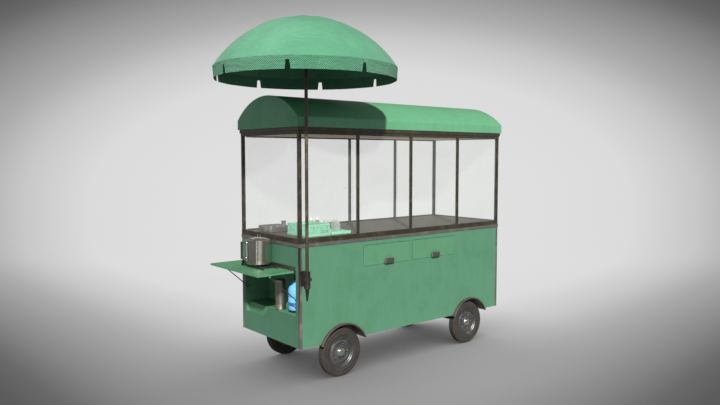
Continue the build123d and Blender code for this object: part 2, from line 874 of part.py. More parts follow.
def gas_bottle():
    r = gas_bottle_radius
    h = gas_bottle_height
    v = gas_valve_radius
    body = turned([
        (0, 0), (r - 6, 0), (r - 6, 10), (r - 2, 12), (r, 22),
        (r, h * 0.68), (r - 5, h * 0.8), (r * 0.72, h * 0.92),
        (r * 0.4, h), (v, h), (v, h + gas_valve_height * 0.5), (v * 1.4, h + gas_valve_height * 0.55),
        (v * 1.4, h + gas_valve_height), (0, h + gas_valve_height),
    ])
    w = gas_wall
    body -= turned([
        (0, 12 + w), (r - 6, 12 + w), (r - w, 22 + w), (r - w, h * 0.67), (r - 5 - w, h * 0.78),
        (r * 0.7, h * 0.9 - w), (0, h * 0.9),
    ])
    return Pos(*bottle_place, locker_floor) * body


def steel_can():
    r = can_radius
    h = can_height
    body = turned([
        (0, 0), (r, 0), (r, h * 0.88), (r * 0.9, h * 0.93), (r * 0.9, h), (0, h),
    ])
    w = can_wall
    body -= turned([
        (0, w), (r - w, w), (r - w, h * 0.87), (r * 0.9 - w, h * 0.92), (r * 0.9 - w, h - w), (0, h - w),
    ])
    return Pos(*can_place, locker_floor) * body


def open_box(corner, size, wall):
    x, y = corner
    outer = block((x, x + size[0]), (y, y + size[1]), (counter_top_z, counter_top_z + size[2]))
    return outer - block((x + wall, x + size[0] - wall), (y + wall, y + size[1] - wall),
                         (counter_top_z + wall, counter_top_z + size[2]))


goods_left = 112.0 - half_length
goods_front = 72.0 - half_width
crate_corner = (goods_left, goods_front)
tray_corner = (goods_left - 72, 50)
board_corner = (goods_left + 210, goods_front)


def serving_trays():
    return open_box(crate_corner, crate_size, crate_wall), open_box(tray_corner, tray_size, tray_wall)


def counter_goods():
    """A serving board with tumblers turned over on it, two sauce bottles and a jar."""
    x, y = board_corner
    top = counter_top_z + board_size[2]
    goods = [block((x, x + board_size[0]), (y, y + board_size[1]), (counter_top_z, top))]
    for dx, dy in ((0.3, 0.76), (0.7, 0.72), (0.52, 0.34)):
        place = (x + dx * board_size[0], y + dy * board_size[1])
        goods.append(Pos(*place, top) * Cone(glass_radius, glass_radius * 0.8, glass_height,
                                             align=(Align.CENTER, Align.CENTER, Align.MIN)))
    r = sauce_radius
    h = sauce_height
    bottle = turned([
        (0, 0), (r, 0), (r, h * 0.62), (r * 0.45, h * 0.78), (r * 0.5, h * 0.8), (r * 0.4, h), (0, h),
    ])
    for step in (0, 1):
        goods.append(Pos(crate_corner[0] + crate_size[0] + 26 + step * 52, crate_corner[1] + crate_size[1] + 22,
                         counter_top_z) * bottle)
    jar_place = (tray_corner[0] + tray_size[0] * 0.8, tray_corner[1] + tray_size[1] * 0.25)
    goods.append(Pos(*jar_place, counter_top_z + tray_wall)
                 * Cylinder(jar_radius, jar_height, align=(Align.CENTER, Align.CENTER, Align.MIN)))
    return goods


# ---------------------------------------------------------------- parasol

dome_radius = (canopy_radius ** 2 + canopy_rise ** 2) / (2 * canopy_rise)
dome_centre = canopy_apex - dome_radius
rib_line = dome_radius - canopy_cloth - rib_clearance - rib_radius
root_angle = asin(rib_root / rib_line)
tip_angle = asin((canopy_radius - rib_tip_inset) / rib_line)
rib_hinge_z = dome_centre + rib_line * cos(root_angle)
joint_line = rib_line - stretcher_drop
joint_turn = radians(stretcher_angle)
joint_place = (joint_line * sin(joint_turn), dome_centre + joint_line * cos(joint_turn))
runner_z = 2 * joint_place[1] - rib_hinge_z
socket_top = socket_bottom + socket_height
screw_z = socket_bottom + socket_height / 2


def at_mast(shape):
    return Pos(mast_x, mast_y, 0) * shape


def mast_clamp():
    """A socket with a tapered tip, welded to a foot plate on the front panel's corner."""
    bore = mast_radius + running_fit
    socket = turned([
        (0, socket_bottom - socket_tip_length), (socket_tip_radius, socket_bottom - socket_tip_length),
        (socket_radius * 0.7, socket_bottom), (socket_radius, socket_bottom), (socket_radius, socket_top),
        (bore, socket_top), (bore, socket_bottom + socket_floor), (0, socket_bottom + socket_floor),
    ])
    reach = mast_from_front
    for z in (socket_bottom + 14, socket_top - 26):
        socket += block((-9, 9), (mast_radius + 4, reach - corner_sheet - 2), (z, z + 12))
    plate_z = (socket_bottom + 4, socket_top - 4)
    edge = corner_leg - corner_sheet - mast_from_left
    socket += block((edge - 12, edge + 26), (reach - corner_sheet - 4, reach - corner_sheet), plate_z)
    socket += block((edge, edge + 26), (reach - corner_sheet, reach), plate_z)
    socket -= rod((0, 0, screw_z), (socket_radius + 5, 0, screw_z), screw_radius + 2 * running_fit)
    socket += rod((-socket_radius - 5, 0, screw_z), (-socket_radius + 2, 0, screw_z), screw_radius * 1.6)
    return at_mast(socket)


def clamp_screw():
    """Thumb screw through the socket's wall that grips the mast."""
    screw = rod((mast_radius + seat_gap, 0, screw_z), (socket_radius + 4, 0, screw_z), screw_radius)
    head = rod((socket_radius + 1, 0, screw_z), (socket_radius + 1 + screw_head_length, 0, screw_z),
               screw_head_radius * 0.6)
    wing = block((socket_radius + 3, socket_radius + 1 + screw_head_length), (-2.5, 2.5),
                 (screw_z - screw_head_radius, screw_z + screw_head_radius))
    return at_mast(screw + head + wing)


def mast_pole():
    """The pole from the socket's floor to the crown, with the crown ring and the top cap."""
    bottom = socket_bottom + socket_floor + seat_gap
    pole = rod((0, 0, bottom), (0, 0, canopy_apex + 1), mast_radius)
    pole += rod((0, 0, rib_hinge_z - crown_height / 2), (0, 0, rib_hinge_z + crown_height / 4), crown_radius)
    cap_z = canopy_apex + seat_gap
    pole += turned([
        (0, cap_z), (cap_radius, cap_z), (cap_radius, cap_z + 3),
        (cap_radius * 0.6, cap_z + cap_height * 0.8),
        (cap_radius * 0.2, cap_z + cap_height), (0, cap_z + cap_height),
    ])
    return at_mast(pole)


def runner():
    """The sliding collar that the stretchers push up."""
    bore = mast_radius + runner_bore_play
    half = runner_height / 2
    collar = turned([
        (bore, runner_z - half - 20), (mast_radius + 6, runner_z - half - 20),
        (mast_radius + 6, runner_z - half),
        (runner_radius, runner_z - half * 0.5), (runner_radius, runner_z + half * 0.5),
        (mast_radius + 6, runner_z + half), (bore, runner_z + half),
    ])
    return at_mast(collar)


def canopy():
    """The stretched cloth: a dome, a short skirt, and a notch in the skirt at each rib."""
    rim = canopy_apex - canopy_rise
    hem = rim - valance_height
    hole = mast_radius + 2
    t = canopy_cloth

    def profile(inset):
        r = dome_radius - inset
        start = (hole, dome_centre + sqrt(r ** 2 - hole ** 2))
        edge = canopy_radius - inset
        end = (edge, dome_centre + sqrt(r ** 2 - edge ** 2))
        half = asin(edge / r) / 2
        return start, (r * sin(half), dome_centre + r * cos(half)), end

    a, b, c = profile(0)
    d, e, f = profile(t)
    edges = [
        ThreePointArc(a, b, c), Line(c, (canopy_radius - valance_taper, hem)),
        Line((canopy_radius - valance_taper, hem), (canopy_radius - valance_taper - t, hem)),
        Line((canopy_radius - valance_taper - t, hem), f), ThreePointArc(f, e, d), Line(d, a),
    ]
    cloth = revolve(Plane.XZ * make_face(edges), Axis.Z)
    notch = Polyline((-notch_width / 2, hem - 1), (notch_width / 2, hem - 1),
                     (notch_width / 3, hem + notch_height), (-notch_width / 3, hem + notch_height),
                     close=True)
    cutter = extrude(Plane.YZ.offset(canopy_radius - 40) * make_face(notch), 60)
    for i in range(rib_count):
        cloth -= Rot(0, 0, i * 360 / rib_count) * cutter
    return at_mast(cloth)


def rib(i):
    """A bent rod from the crown to the edge of the dome, with an eye and a ball tip."""
    sweep_angle = degrees(tip_angle - root_angle)
    start = Plane(origin=(rib_root, 0, rib_hinge_z), z_dir=(cos(root_angle), 0, -sin(root_angle)))
    centre = Axis((0, 0, dome_centre), (0, 1, 0))
    bar = revolve(start * Circle(rib_radius), centre, sweep_angle)
    bar += rod((rib_root, -3, rib_hinge_z), (rib_root, 3, rib_hinge_z), rib_radius * 1.1)
    tip = Pos(rib_line * sin(tip_angle), 0, dome_centre + rib_line * cos(tip_angle))
    bar += tip * Sphere(rib_radius * 1.1)
    return at_mast(Rot(0, 0, i * 360 / rib_count) * bar)


def stretcher(i):
    """The straight strut from the runner to the rib above it, with an eye across its upper end."""
    x, z = joint_place
    half_eye = stretcher_eye_length / 2
    strut = rod((rib_root, 0, runner_z), (x, 0, z), stretcher_radius)
    strut += rod((x, -half_eye, z), (x, half_eye, z), stretcher_eye_radius)
    return at_mast(Rot(0, 0, i * 360 / rib_count) * strut)


# ---------------------------------------------------------------- write every node

os.makedirs("parts", exist_ok=True)
save("chassis_frame", chassis_frame())
save("axles", *axles())
for x_name, x in (("left", -wheel_base / 2), ("right", wheel_base / 2)):
    for y_name, side in (("front", -1), ("back", 1)):
        save(f"wheel_{y_name}_{x_name}", *wheel(x, side))
save("fenders", *fenders())
save("floor_panel", floor_panel())
save("front_panel", long_panel(-1))
save("back_panel", long_panel(1))
save("right_end_panel", end_panel(1))
save("left_end_panel", left_end_panel())
save("locker_liner", locker_liner())
save("steel_trims", *steel_trims())
save("counter_top", counter_top())
save("case_sill", *case_sill())
save("case_posts", *case_posts())
save("case_header", *case_header())
save("ceiling_panel", ceiling_panel())
save("fixed_glass", *fixed_glass())
save("rear_door_left", *rear_door(-1))
save("rear_door_right", *rear_door(1))
save("roof_shell", roof_shell())
for name, side in (("left", -1), ("right", 1)):
    save(f"drawer_{name}", drawer(side))
    save(f"drawer_pull_{name}", drawer_pull(side))
save("drawer_runners", *drawer_runners())
save("shelf_board", shelf_board())
save("shelf_hinge", *shelf_hinge())
save("shelf_stays", *shelf_stays())
save("gas_burner", gas_burner())
save("burner_knob", burner_knob())
save("pot", pot())
save("pot_lid", pot_lid())
save("gas_bottle", gas_bottle())
save("steel_can", steel_can())
save("serving_trays", *serving_trays())
save("counter_goods", *counter_goods())
save("mast_clamp", mast_clamp())
save("clamp_screw", clamp_screw())
save("mast_pole", mast_pole())
save("runner", runner())
save("canopy", canopy())
for i in range(rib_count):
    save(f"rib_{i + 1}", rib(i))
    save(f"stretcher_{i + 1}", stretcher(i))
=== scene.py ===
import math

import bmesh
import bpy
from mathutils import Matrix, Vector


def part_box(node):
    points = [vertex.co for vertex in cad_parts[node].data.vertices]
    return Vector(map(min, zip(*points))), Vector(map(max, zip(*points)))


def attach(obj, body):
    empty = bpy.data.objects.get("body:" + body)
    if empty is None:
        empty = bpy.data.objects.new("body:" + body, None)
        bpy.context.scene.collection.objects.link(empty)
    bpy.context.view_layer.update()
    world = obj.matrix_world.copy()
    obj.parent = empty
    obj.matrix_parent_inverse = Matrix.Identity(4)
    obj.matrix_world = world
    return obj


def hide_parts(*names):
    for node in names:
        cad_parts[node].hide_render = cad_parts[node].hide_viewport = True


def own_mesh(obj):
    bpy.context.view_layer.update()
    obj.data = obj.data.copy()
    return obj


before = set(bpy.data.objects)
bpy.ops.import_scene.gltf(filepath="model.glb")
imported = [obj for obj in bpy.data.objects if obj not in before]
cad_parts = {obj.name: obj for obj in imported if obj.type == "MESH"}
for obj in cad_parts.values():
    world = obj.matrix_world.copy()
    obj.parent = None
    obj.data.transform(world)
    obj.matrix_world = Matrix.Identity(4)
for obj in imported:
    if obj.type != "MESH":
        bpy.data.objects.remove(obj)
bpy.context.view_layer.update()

# ------------------------------------------------------------------------------------------
# The camera stands at the customers' side, left of the cart and a little below eye height,
# and looks slightly down. The cart is framed whole, with the parasol near the top.
camera_place = Vector((-3.1436, -3.5988, 1.5294))
camera_turn = -0.6904
camera_dip = -0.07
lens_mm = 32.86

camera_data = bpy.data.cameras.new("camera")
camera_data.sensor_width = 36.0
camera_data.lens = lens_mm
camera_data.clip_end = 100.0
camera = bpy.data.objects.new("camera", camera_data)
camera.location = camera_place
camera.rotation_euler = (math.pi / 2 + camera_dip, 0.0, camera_turn)
bpy.context.scene.collection.objects.link(camera)
bpy.context.scene.camera = camera


# ------------------------------------------------------------------------------------------
# The studio: a pale floor that sweeps up into a wall behind the cart. The floor glows rather than
# being lit: a pool of light is painted into its glow, fixed in the set, and painted shade darkens it
# under the cart.
class Wire:
    """One output of a node, which can be used in sums with numbers and other wires."""

    def __init__(self, finish, socket):
        self.finish = finish
        self.socket = socket

    def sum(self, operation, first, second=0.0):
        return self.finish.node("Math", {0: first, 1: second}, operation=operation)

    def __add__(self, other):
        return self.sum("ADD", self, other)

    def __radd__(self, other):
        return self.sum("ADD", other, self)

    def __sub__(self, other):
        return self.sum("SUBTRACT", self, other)

    def __rsub__(self, other):
        return self.sum("SUBTRACT", other, self)

    def __mul__(self, other):
        return self.sum("MULTIPLY", self, other)

    def __rmul__(self, other):
        return self.sum("MULTIPLY", other, self)

    def __truediv__(self, other):
        return self.sum("DIVIDE", self, other)

    def __pow__(self, other):
        return self.sum("POWER", self, other)


class Finish:
    """A material built up from nodes; every node of any kind comes from node()."""

    def __init__(self, name):
        self.material = bpy.data.materials.new(name)
        self.material.use_nodes = True
        self.tree = self.material.node_tree
        self.tree.nodes.clear()

    def node(self, kind, inputs, out=0, stops=None, **settings):
        made = self.tree.nodes.new("ShaderNode" + kind)
        for key, value in settings.items():
            setattr(made, key, value)
        if stops:
            ramp = made.color_ramp
            while len(ramp.elements) < len(stops):
                ramp.elements.new(0.5)
            for element, (place, colour) in zip(ramp.elements, stops):
                element.position = place
                element.color = colour
        for key, value in inputs.items():
            if isinstance(value, Wire):
                self.tree.links.new(value.socket, made.inputs[key])
            else:
                made.inputs[key].default_value = value
        return Wire(self, made.outputs[out]) if len(made.outputs) else None

    def place(self, stretch=(1.0, 1.0, 1.0)):
        """The point in the cart's frame, in metres, stretched along each axis."""
        point = self.node("TexCoord", {}, out="Object")
        return self.node("Mapping", {"Vector": point, "Scale": stretch})

    def noise(self, scale, detail=4.0, stretch=(1.0, 1.0, 1.0), rough=0.5):
        return self.node("TexNoise", {"Vector": self.place(stretch), "Scale": scale,
                                      "Detail": detail, "Roughness": rough})

    def step(self, value, low, high):
        """0 below low, 1 above high, and a smooth rise between."""
        return self.node("MapRange", {"Value": value, "From Min": low, "From Max": high},
                         interpolation_type="SMOOTHSTEP")

    def along(self, axis):
        point = self.node("TexCoord", {}, out="Object")
        return self.node("SeparateXYZ", {"Vector": point}, out=axis)

    def near(self, centre, reach, stretch=(1.0, 1.0, 1.0)):
        """1 at a point, falling smoothly to 0 at a distance of reach."""
        middle = [c * s for c, s in zip(centre, stretch)]
        gap = self.node("VectorMath", {0: self.place(stretch), 1: middle}, out="Value",
                        operation="DISTANCE")
        return self.step(gap, reach, 0.0)

    def mix(self, share, first, second):
        return self.node("Mix", {0: share, 6: first, 7: second}, out=2, data_type="RGBA")

    def bump(self, height, depth, strength=1.0):
        return self.node("Bump", {"Height": height, "Distance": depth, "Strength": strength})

    def shader(self, inputs):
        surface = self.node("BsdfPrincipled", inputs)
        self.node("OutputMaterial", {"Surface": surface})
        return self.material


def tone(red, green, blue, alpha=1.0):
    """A colour given as it looks on a screen, 0 to 255, as the shader's own linear numbers."""
    def linear(level):
        level = level / 255.0
        return level / 12.92 if level <= 0.04045 else ((level + 0.055) / 1.055) ** 2.4
    return (linear(red), linear(green), linear(blue), alpha)


floor_finish = Finish("studio_floor")
set_turn = 0.6904
back_way = Vector((math.sin(set_turn), math.cos(set_turn), 0.0))
side_way = Vector((back_way.y, -back_way.x, 0.0))
pool_depth = 6.24
pool_length = 6.2
pool_height = 0.63
pool_rise = 3.4
pool_spread = 0.55
pool_start = 4.7766
pool_shift = 0.1318
pool_reach = 1.5


def at_least(value, least):
    """The larger of a value on the floor and a fixed number."""
    return floor_finish.node("Math", {0: value, 1: least}, operation="MAXIMUM")


def distance_along(way):
    """How far a spot of the floor lies from the cart's middle in one direction, in metres."""
    spot = floor_finish.node("TexCoord", {}, out="Object")
    return floor_finish.node("VectorMath", {0: spot, 1: way}, out="Value", operation="DOT_PRODUCT")


inward = distance_along(back_way)
before = at_least((pool_depth - inward) / pool_length, 0.0)
above = at_least((floor_finish.along("Z") - pool_height) / pool_rise, 0.0)
pool_half_width = pool_spread * at_least(inward + pool_start, 1.0)
sideways = (distance_along(side_way) + pool_shift) / pool_half_width
off_centre = (before * before + above * above + sideways * sideways) ** 0.5
# Painted light: a pool of brighter glow behind the cart, darker towards the edges.
painted_light_pool = floor_finish.node("ValToRGB", {"Fac": off_centre / pool_reach}, stops=[
    (0.0, tone(229, 229, 229)), (0.5, tone(220, 220, 220)), (0.62, tone(201, 201, 201)),
    (0.72, tone(172, 172, 172)), (0.87, tone(133, 133, 133)), (0.94, tone(106, 106, 106)),
    (1.0, tone(92, 92, 92)),
])
# Painted shade: the glow darkens under and round the cart, by ambient occlusion.
contact_reach = 1.0
painted_contact_shade = floor_finish.node("AmbientOcclusion", {"Distance": contact_reach}, out="AO")
floor_finish.shader({
    "Base Color": tone(0, 0, 0),
    "Roughness": 1.0,
    "Specular IOR Level": 0.0,
    "Emission Color": floor_finish.mix(painted_contact_shade, tone(38, 38, 38), painted_light_pool),
    "Emission Strength": 1.0,
})

sweep_start = 5.0
sweep_radius = 3.0
wall_height = 9.0
floor_half_width = 16.0
floor_front = -14.0
sweep_steps = 16
outline = [(floor_front, 0.0), (sweep_start, 0.0)]
for i in range(1, sweep_steps + 1):
    turn = math.pi / 2 * i / sweep_steps
    outline.append((sweep_start + sweep_radius * math.sin(turn),
                    sweep_radius * (1 - math.cos(turn))))
outline.append((sweep_start + sweep_radius, wall_height))
floor_mesh = bmesh.new()
rows = []
for depth, height in outline:
    middle = back_way * depth + Vector((0.0, 0.0, height))
    rows.append([floor_mesh.verts.new(middle + side_way * side * floor_half_width)
                 for side in (-1, 1)])
for near_row, far_row in zip(rows, rows[1:]):
    face = floor_mesh.faces.new((near_row[0], near_row[1], far_row[1], far_row[0]))
    face.smooth = True
floor_data = bpy.data.meshes.new("studio_floor")
floor_mesh.to_mesh(floor_data)
floor_data.materials.append(floor_finish.material)
studio_floor = bpy.data.objects.new("studio_floor", floor_data)
bpy.context.scene.collection.objects.link(studio_floor)

# ------------------------------------------------------------------------------------------
# The light: a surround with upright brighter and dimmer bands for metal to mirror, two tall soft
# lamps whose gloss shows on the pot, and one firm lamp from the front left that throws the
# parasol's shadow across the roof. The mast and its clamp throw no shadow.
bpy.context.scene.view_settings.view_transform = "Standard"
world = bpy.data.worlds.new("surround")
world.use_nodes = True
sky = world.node_tree
direction = sky.nodes.new("ShaderNodeTexCoord")
bands = sky.nodes.new("ShaderNodeTexGradient")
bands.gradient_type = "RADIAL"
levels = sky.nodes.new("ShaderNodeValToRGB")
surround_stops = (
    (0.0, 0.55), (0.14, 0.30), (0.22, 0.95), (0.30, 0.35), (0.42, 0.75), (0.55, 0.45),
    (0.72, 0.40), (0.85, 0.75), (1.0, 0.55),
)
while len(levels.color_ramp.elements) < len(surround_stops):
    levels.color_ramp.elements.new(0.5)
for element, (place, level) in zip(levels.color_ramp.elements, surround_stops):
    element.position = place
    element.color = (level * 0.97, level * 0.99, level, 1.0)
sky.links.new(direction.outputs["Generated"], bands.inputs["Vector"])
sky.links.new(bands.outputs["Color"], levels.inputs["Fac"])
upward = sky.nodes.new("ShaderNodeSeparateXYZ")
dimming = sky.nodes.new("ShaderNodeMapRange")
for key, value in (("From Min", 0.15), ("From Max", 0.75), ("To Min", 1.0), ("To Max", 0.2)):
    dimming.inputs[key].default_value = value
sky.links.new(direction.outputs["Generated"], upward.inputs["Vector"])
sky.links.new(upward.outputs["Z"], dimming.inputs["Value"])
sky.links.new(levels.outputs["Color"], sky.nodes["Background"].inputs["Color"])
sky.links.new(dimming.outputs["Result"], sky.nodes["Background"].inputs["Strength"])
bpy.context.scene.world = world

lid_low, lid_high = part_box("pot_lid")
lid_middle = (lid_low + lid_high) / 2
lamp_height = 0.85
lamp_tall = 1.7
lamp_distance = 4.0
for lamp_name, bearing, width, watts in (("strip", 218.0, 0.22, 2.6), ("panel", 246.0, 2.2, 5.0)):
    lamp_data = bpy.data.lights.new(lamp_name, "AREA")
    lamp_data.shape = "RECTANGLE"
    lamp_data.size = width
    lamp_data.size_y = lamp_tall
    lamp_data.energy = watts
    lamp = bpy.data.objects.new(lamp_name, lamp_data)
    away = Vector((math.cos(math.radians(bearing)), math.sin(math.radians(bearing)), 0.0))
    lamp.location = Vector((lid_middle.x, lid_middle.y, lamp_height)) + away * lamp_distance
    lamp.rotation_euler = away.to_track_quat("Z", "Y").to_euler()
    lamp.visible_camera = False
    bpy.context.scene.collection.objects.link(lamp)

key_data = bpy.data.lights.new("key", "SUN")
key_data.energy = 5.5
key_data.angle = math.radians(2.5)
key_data.color = (1.0, 0.98, 0.94)
key = bpy.data.objects.new("key", key_data)
key_way = Vector((0.9, 1.35, -1.0))
key.rotation_euler = key_way.to_track_quat("-Z", "Y").to_euler()
bpy.context.scene.collection.objects.link(key)

slender = bpy.data.collections.new("slender")
for name in ("mast_pole", "mast_clamp", "clamp_screw", "runner"):
    slender.objects.link(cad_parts[name])
key.light_linking.blocker_collection = slender
for link in slender.collection_objects:
    link.light_linking.link_state = "EXCLUDE"


# ------------------------------------------------------------------------------------------
# The chassis under the cabinet: welded steel tubes, axle plates and a sheet floor, brushed
# with black paint that is dusty near the road.
def soften(name, width=0.0008, segments=2):
    """Rounds a node's sharp edges a little, as folded and painted sheet has them."""
    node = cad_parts[name]
    for polygon in node.data.polygons:
        polygon.use_smooth = True
    weld = node.modifiers.new("weld", "WELD")
    weld.merge_threshold = 0.00002
    bevel = node.modifiers.new("bevel", "BEVEL")
    bevel.width = width
    bevel.segments = segments
    bevel.limit_method = "ANGLE"
    bevel.angle_limit = math.radians(32)
    flatter = node.modifiers.new("flatter", "WEIGHTED_NORMAL")
    flatter.weight = 100
    flatter.keep_sharp = True
    return node


def coat(name, finish):
    """Gives a node its finish on every face."""
    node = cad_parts[name]
    node.data.materials.clear()
    node.data.materials.append(finish.material)
    return node


black_paint = Finish("black_paint")
road_dust = black_paint.step(black_paint.along("Z"), 0.36, 0.12) * black_paint.noise(35.0)
black_paint.shader({
    "Base Color": black_paint.mix(road_dust, tone(34, 33, 32), tone(92, 82, 70)),
    "Roughness": 0.55 + 0.3 * road_dust,
    "Normal": black_paint.bump(black_paint.noise(240.0), 0.0006),
})
for name in ("chassis_frame", "floor_panel", "axles"):
    soften(name)
    coat(name, black_paint)


# ------------------------------------------------------------------------------------------
# The cabinet: thin steel sheets with a sprayed green enamel. The paint is mottled in upright
# streaks. Painted shade darkens it under the counter's band, round the drawer pulls and left of the
# mast, and it is darker round the wheel arches.
def enamel(name, main, deep, pale_tone, darkening_marks=(), band=None):
    """Green enamel with streaks and mottling. darkening_marks are darker spots, each a centre, a reach
    and a stretch; band is the height under which painted shade darkens the panel's top edge."""
    paint = Finish(name)
    streaks = paint.noise(9.0, 5.0, (6.0, 6.0, 0.7), 0.6)
    mottle = paint.noise(5.0, 6.0, (1.0, 1.0, 1.0), 0.65)
    specks = paint.noise(160.0, 2.0)
    colour = paint.mix(paint.step(streaks, 0.38, 0.66) * 0.4, main, pale_tone)
    colour = paint.mix(paint.step(mottle, 0.45, 0.72) * 0.55, colour, deep)
    colour = paint.mix(paint.step(specks, 0.66, 0.74) * 0.35, colour, deep)
    darkening = None
    for centre, reach, stretch in darkening_marks:
        mark = paint.near(centre, reach, stretch)
        darkening = mark if darkening is None else darkening + mark
    # Painted shade on the panel's top edge, under the counter's overhang.
    if band is not None:
        painted_shade_under_band = paint.step(paint.along("Z"), band - 0.05, band) * (0.45 + streaks * 0.6)
        darkening = painted_shade_under_band if darkening is None else darkening + painted_shade_under_band
    # The darkened places are mixed towards a dark green: painted shade round the pulls, beside the
    # mast and under the counter, and darker patches round the wheel arches.
    if darkening is not None:
        colour = paint.mix(paint.step(darkening * (0.6 + mottle * 0.6), 0.05, 1.3) * 0.75,
                           colour, tone(42, 64, 48))
    peel = paint.noise(420.0, 2.0) + paint.noise(14.0, 3.0) * 3.0
    paint.shader({
        "Base Color": colour,
        "Roughness": 0.42 + 0.22 * mottle,
        "Normal": paint.bump(peel, 0.0003),
        "Specular IOR Level": 0.42,
    })
    return paint


def middle_of(name):
    low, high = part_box(name)
    return (low + high) / 2


# Painted shade round the drawer pulls and left of the mast, where those parts shade the panel. The
# wheel marks darken the panel round the arches.
pull_shade_marks = [(middle_of("drawer_pull_" + side), 0.085, (0.8, 0.35, 1.2))
              for side in ("left", "right")]
wheel_marks = [(middle_of("wheel_front_" + side), 0.27, (1.0, 0.4, 1.0))
               for side in ("left", "right")]
mast_middle = middle_of("mast_pole")
mast_shade_mark = (Vector((mast_middle.x - 0.01, mast_middle.y, 0.75)), 0.06, (1.0, 0.4, 0.3))
panel_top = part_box("front_panel")[1].z
cabinet_green = enamel("cabinet_green", tone(76, 124, 97), tone(66, 113, 84),
                       tone(85, 131, 106), pull_shade_marks + wheel_marks + [mast_shade_mark], panel_top)
for name in ("front_panel", "back_panel"):
    soften(name, 0.0006)
    coat(name, cabinet_green)
# The end panels: a darker copy of the cabinet's green, as painted shade, since the ends take less
# light than the front.
shaded_end_green = enamel("shaded_end_green", tone(66, 110, 86), tone(56, 98, 73), tone(76, 118, 96))
for name in ("right_end_panel", "left_end_panel"):
    soften(name, 0.0006)
    coat(name, shaded_end_green)

liner_green = enamel("liner_green", tone(84, 138, 102), tone(68, 116, 84), tone(94, 148, 112))
soften("locker_liner", 0.0006)
coat("locker_liner", liner_green)


# ------------------------------------------------------------------------------------------
# Corner angles and the band round the counter: bare folded steel, dulled and stained brown,
# with brighter streaks in the grain.
def worn_steel(name, main, rust, rust_share=0.5, shine=0.45):
    metal = Finish(name)
    grain = metal.noise(90.0, 5.0, (1.0, 1.0, 0.25))
    stain = metal.step(metal.noise(13.0, 6.0, (1.0, 1.0, 0.6), 0.7), 0.5, 0.7)
    colour = metal.mix(stain * rust_share, main, rust)
    colour = metal.mix(metal.step(grain, 0.55, 0.8) * 0.4, colour, tone(168, 163, 158))
    metal.shader({
        "Base Color": colour,
        "Metallic": 0.85 - 0.5 * stain,
        "Roughness": shine + 0.25 * stain,
        "Normal": metal.bump(grain + stain, 0.0003),
    })
    return metal


trim_steel = worn_steel("trim_steel", tone(138, 133, 130), tone(112, 92, 82))
soften("steel_trims", 0.001)
coat("steel_trims", trim_steel)

fender_steel = worn_steel("fender_steel", tone(120, 113, 106), tone(92, 78, 68), 0.7, 0.5)
soften("fenders", 0.001)
coat("fenders", fender_steel)

# ------------------------------------------------------------------------------------------
# The wheels: a treaded rubber tyre on a pressed steel disc with a hub cap and five nuts. The
# tyres are dusty, with grooves round the tread and rings on the sidewalls.
tyre_rubber = Finish("tyre_rubber")
dust = tyre_rubber.noise(22.0, 5.0)
low_dust = tyre_rubber.step(tyre_rubber.noise(70.0, 3.0), 0.4, 0.7)
tyre_rubber.shader({
    "Base Color": tyre_rubber.mix(tyre_rubber.step(dust, 0.25, 0.8) * 0.6,
                                  tone(40, 36, 32), tone(60, 54, 47)),
    "Roughness": 0.75 + 0.15 * low_dust,
    "Normal": tyre_rubber.bump(tyre_rubber.noise(300.0, 3.0), 0.0008),
})
rim_steel = worn_steel("rim_steel", tone(96, 98, 98), tone(72, 66, 60), 0.5, 0.42)
cap_steel = worn_steel("cap_steel", tone(150, 150, 148), tone(90, 84, 78), 0.3, 0.25)


def show(name, mesh, body, finish, slot, *nodes):
    """Makes a bmesh a shown piece that rides on a body and stands for CAD nodes."""
    data = bpy.data.meshes.new(name)
    mesh.to_mesh(data)
    mesh.free()
    data.materials.append(finish.material)
    made = bpy.data.objects.new(name, data)
    bpy.context.scene.collection.objects.link(made)
    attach(made, body)
    if nodes:
        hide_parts(*nodes)
    return made


def spin(mesh, profile, place, steps=64, sharp=0.6):
    """Adds a solid of revolution from (radius, height) points; place turns and moves it."""
    rings = []
    for radius, height in profile:
        if radius < 1e-6:
            rings.append([mesh.verts.new(place @ Vector((0.0, 0.0, height)))])
            continue
        ring = []
        for i in range(steps):
            turn = 2 * math.pi * i / steps
            ring.append(mesh.verts.new(
                place @ Vector((radius * math.cos(turn), radius * math.sin(turn), height))))
        rings.append(ring)
    for below, above in zip(rings, rings[1:]):
        for i in range(steps):
            j = (i + 1) % steps
            corners = [below[i % len(below)], below[j % len(below)],
                       above[j % len(above)], above[i % len(above)]]
            unique = list(dict.fromkeys(corners))
            if len(unique) > 2:
                mesh.faces.new(unique).smooth = True
    for edge in mesh.edges:
        if len(edge.link_faces) == 2 and edge.calc_face_angle(0.0) > sharp:
            edge.smooth = False
    return rings


def outward(mesh):
    bmesh.ops.recalc_face_normals(mesh, faces=mesh.faces)
    return mesh


